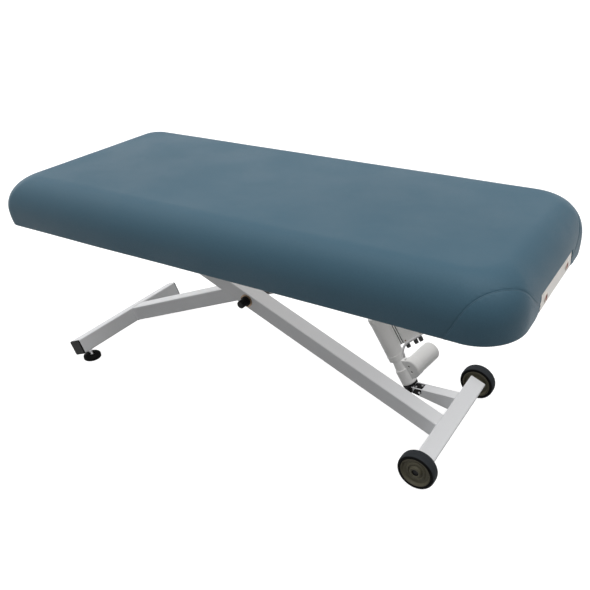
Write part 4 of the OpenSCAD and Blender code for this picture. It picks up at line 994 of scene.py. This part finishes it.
def arm_tip():
    """A black block in the arm's open tip, partly a bracket and partly painted shade inside it, its side
    plates, and the bolts that hold it.
    """
    body = "near_beam_body"
    a, b, c = (ARM_PIN.x + along for along in (TIP_FROM, TIP_TO, SKIN_FROM))
    # The black block: partly a bracket, partly painted shade inside the arm's open tip
    block = [(x, arm_edge(x, side, inset)) for x, side, inset in (
        (a, -1, BLOCK_LOW), (b, -1, BLOCK_LOW), (b, 1, BLOCK_HIGH), (a, 1, BLOCK_HIGH))]
    half = ARM_W / 2 - ARM_WALL - SEAT
    prism("arm_tip_block", block, ARM_Y - half, ARM_Y + half, ON_NEAR, "black_plastic", body)
    skin = [(x, arm_edge(x, side, SKIN_IN)) for x, side in (
        (c, -1), (b, -1), (b + SKIN_POINT, 0), (b, 1), (c, 1))]
    for side, name in ((-1, "near"), (1, "far")):
        y = ARM_Y + side * ARM_W / 2
        prism("arm_tip_plate_" + name, skin, y, y + side * SKIN_T, ON_NEAR, "black_plastic", body)
    turn = ON_NEAR.to_3x3()
    mid = (c + b) / 2 + SIDE_BOLT_MID
    at = Vector((mid + SIDE_BOLT_ALONG, ARM_Y - ARM_W / 2 - SKIN_T, arm_edge(mid, 0) + SIDE_BOLT_UP))
    screw("arm_tip_bolt_side", ON_NEAR @ at, turn @ Vector((0, -1, 0)), "bright_steel", body, *SIDE_BOLT)
    for i, (end, (along, across)) in enumerate(zip((a, b), TOP_BOLTS)):
        at = Vector((end + along, ARM_Y + across, arm_edge(end + along, 1, BLOCK_HIGH)))
        screw("arm_tip_bolt_%d" % i, ON_NEAR @ at, turn @ Vector((0, 0, 1)), "bright_steel", body, *TOP_BOLT)


# Profile of (radius, height over the rims' face) in millimetres
LINER = ((5.8, -12.0), (5.8, -1.4), (6.6, -0.4), (8.9, 0.0), (9.5, -0.6), (9.5, -12.0))
LINER_STEPS = 64


def socket_liners():
    """Reddish liners in the mouths of the two sockets."""
    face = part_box("socket_rims")[1].x
    for side in ("near", "far"):
        low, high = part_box("socket_" + side)
        place = (Matrix.Translation((face, (low.y + high.y) / 2, (low.z + high.z) / 2))
                 @ Matrix.Rotation(math.pi / 2, 4, "Y"))
        lathe("socket_liner_" + side, metres(LINER), place, "rim_bronze", "top", LINER_STEPS)


box_screws()
cover_screws()
mount_shade_lines()
arm_tip()
socket_liners()


# ---------------------------------------------------------------- stage and light
FLOOR_HALF, FLOOR_Z = 30.0, -0.0006
# The floor's grey as the camera sees it and as the object is lit by it, and its glow for the camera
FLOOR_SEEN, FLOOR_FELT, FLOOR_GLOW = 0.80, 0.12, 0.42
# The world brightens towards WORLD_TO: from and to along it, then the strengths there
WORLD_TO = (-0.30, 0.10, 0.95)
WORLD_SPAN = (-0.4, 0.9, 0.05, 0.44)
# Name, the way the light goes, strength, angle in degrees, and whether it casts shadows
SUNS = (("key", (0.02, 0.16, -1.0), 2.02, 60, False),
        ("shade", (-0.62, 0.10, -0.75), 0.75, 40, True),
        ("left", (0.90, 0.05, -0.35), 0.50, 40, False))


def shown(t):
    """1 for the rays that should meet a white background, 0 for the ones that light the object."""
    path = t.nodes.new("ShaderNodeLightPath")
    last = path.outputs["Is Camera Ray"]
    for name in ("Is Glossy Ray", "Is Transmission Ray"):
        n = t.nodes.new("ShaderNodeMath")
        n.operation = "MAXIMUM"
        t.links.new(last, n.inputs[0])
        t.links.new(path.outputs[name], n.inputs[1])
        last = n.outputs[0]
    return last


def add_stage():
    """A floor that is white to the camera and darker to the object."""
    me = bpy.data.meshes.new("floor")
    s, z = FLOOR_HALF, FLOOR_Z
    me.from_pydata([(-s, -s, z), (s, -s, z), (s, s, z), (-s, s, z)], [], [(0, 1, 2, 3)])
    floor = new_object("floor", me)
    mat = bpy.data.materials.new("floor")
    mat.use_nodes = True
    t = mat.node_tree
    t.nodes.clear()
    out = t.nodes.new("ShaderNodeOutputMaterial")
    seen, felt = (t.nodes.new("ShaderNodeBsdfDiffuse") for _ in range(2))
    for n, grey in ((seen, FLOOR_SEEN), (felt, FLOOR_FELT)):
        n.inputs[0].default_value = (grey, grey, grey, 1)
    glow = t.nodes.new("ShaderNodeEmission")
    glow.inputs["Strength"].default_value = FLOOR_GLOW
    add = t.nodes.new("ShaderNodeAddShader")
    mix = t.nodes.new("ShaderNodeMixShader")
    t.links.new(seen.outputs[0], add.inputs[0])
    t.links.new(glow.outputs[0], add.inputs[1])
    t.links.new(shown(t), mix.inputs[0])
    t.links.new(felt.outputs[0], mix.inputs[1])
    t.links.new(add.outputs[0], mix.inputs[2])
    t.links.new(mix.outputs[0], out.inputs[0])
    me.materials.append(mat)


def add_world():
    """White to the camera; to the object, a soft studio that is brightest above and behind."""
    world = bpy.data.worlds.new("world")
    bpy.context.scene.world = world
    world.use_nodes = True
    t = world.node_tree
    t.nodes.clear()
    out = t.nodes.new("ShaderNodeOutputWorld")
    white, soft = (t.nodes.new("ShaderNodeBackground") for _ in range(2))
    white.inputs["Color"].default_value = (1, 1, 1, 1)
    white.inputs["Strength"].default_value = 1.0
    coord = t.nodes.new("ShaderNodeTexCoord")
    dot = t.nodes.new("ShaderNodeVectorMath")
    dot.operation = "DOT_PRODUCT"
    dot.inputs[1].default_value = WORLD_TO
    t.links.new(coord.outputs["Generated"], dot.inputs[0])
    span = t.nodes.new("ShaderNodeMapRange")
    span.interpolation_type = "SMOOTHSTEP"
    for k, v in zip(("From Min", "From Max", "To Min", "To Max"), WORLD_SPAN):
        span.inputs[k].default_value = v
    t.links.new(dot.outputs["Value"], span.inputs["Value"])
    t.links.new(span.outputs[0], soft.inputs["Strength"])
    mix = t.nodes.new("ShaderNodeMixShader")
    t.links.new(shown(t), mix.inputs[0])
    t.links.new(soft.outputs[0], mix.inputs[1])
    t.links.new(white.outputs[0], mix.inputs[2])
    t.links.new(mix.outputs[0], out.inputs[0])


def add_sun(name, towards, strength, angle, shadow):
    """A sun that shines towards a direction, softer with a wider angle."""
    data = bpy.data.lights.new(name, "SUN")
    data.use_shadow = shadow
    data.cycles.cast_shadow = shadow
    data.energy = strength
    data.angle = math.radians(angle)
    ob = bpy.data.objects.new(name, data)
    bpy.context.scene.collection.objects.link(ob)
    ob.rotation_euler = Vector(towards).to_track_quat("-Z", "Y").to_euler()


add_stage()
add_world()
for sun in SUNS:
    add_sun(*sun)
bpy.context.scene.view_settings.view_transform = "Standard"
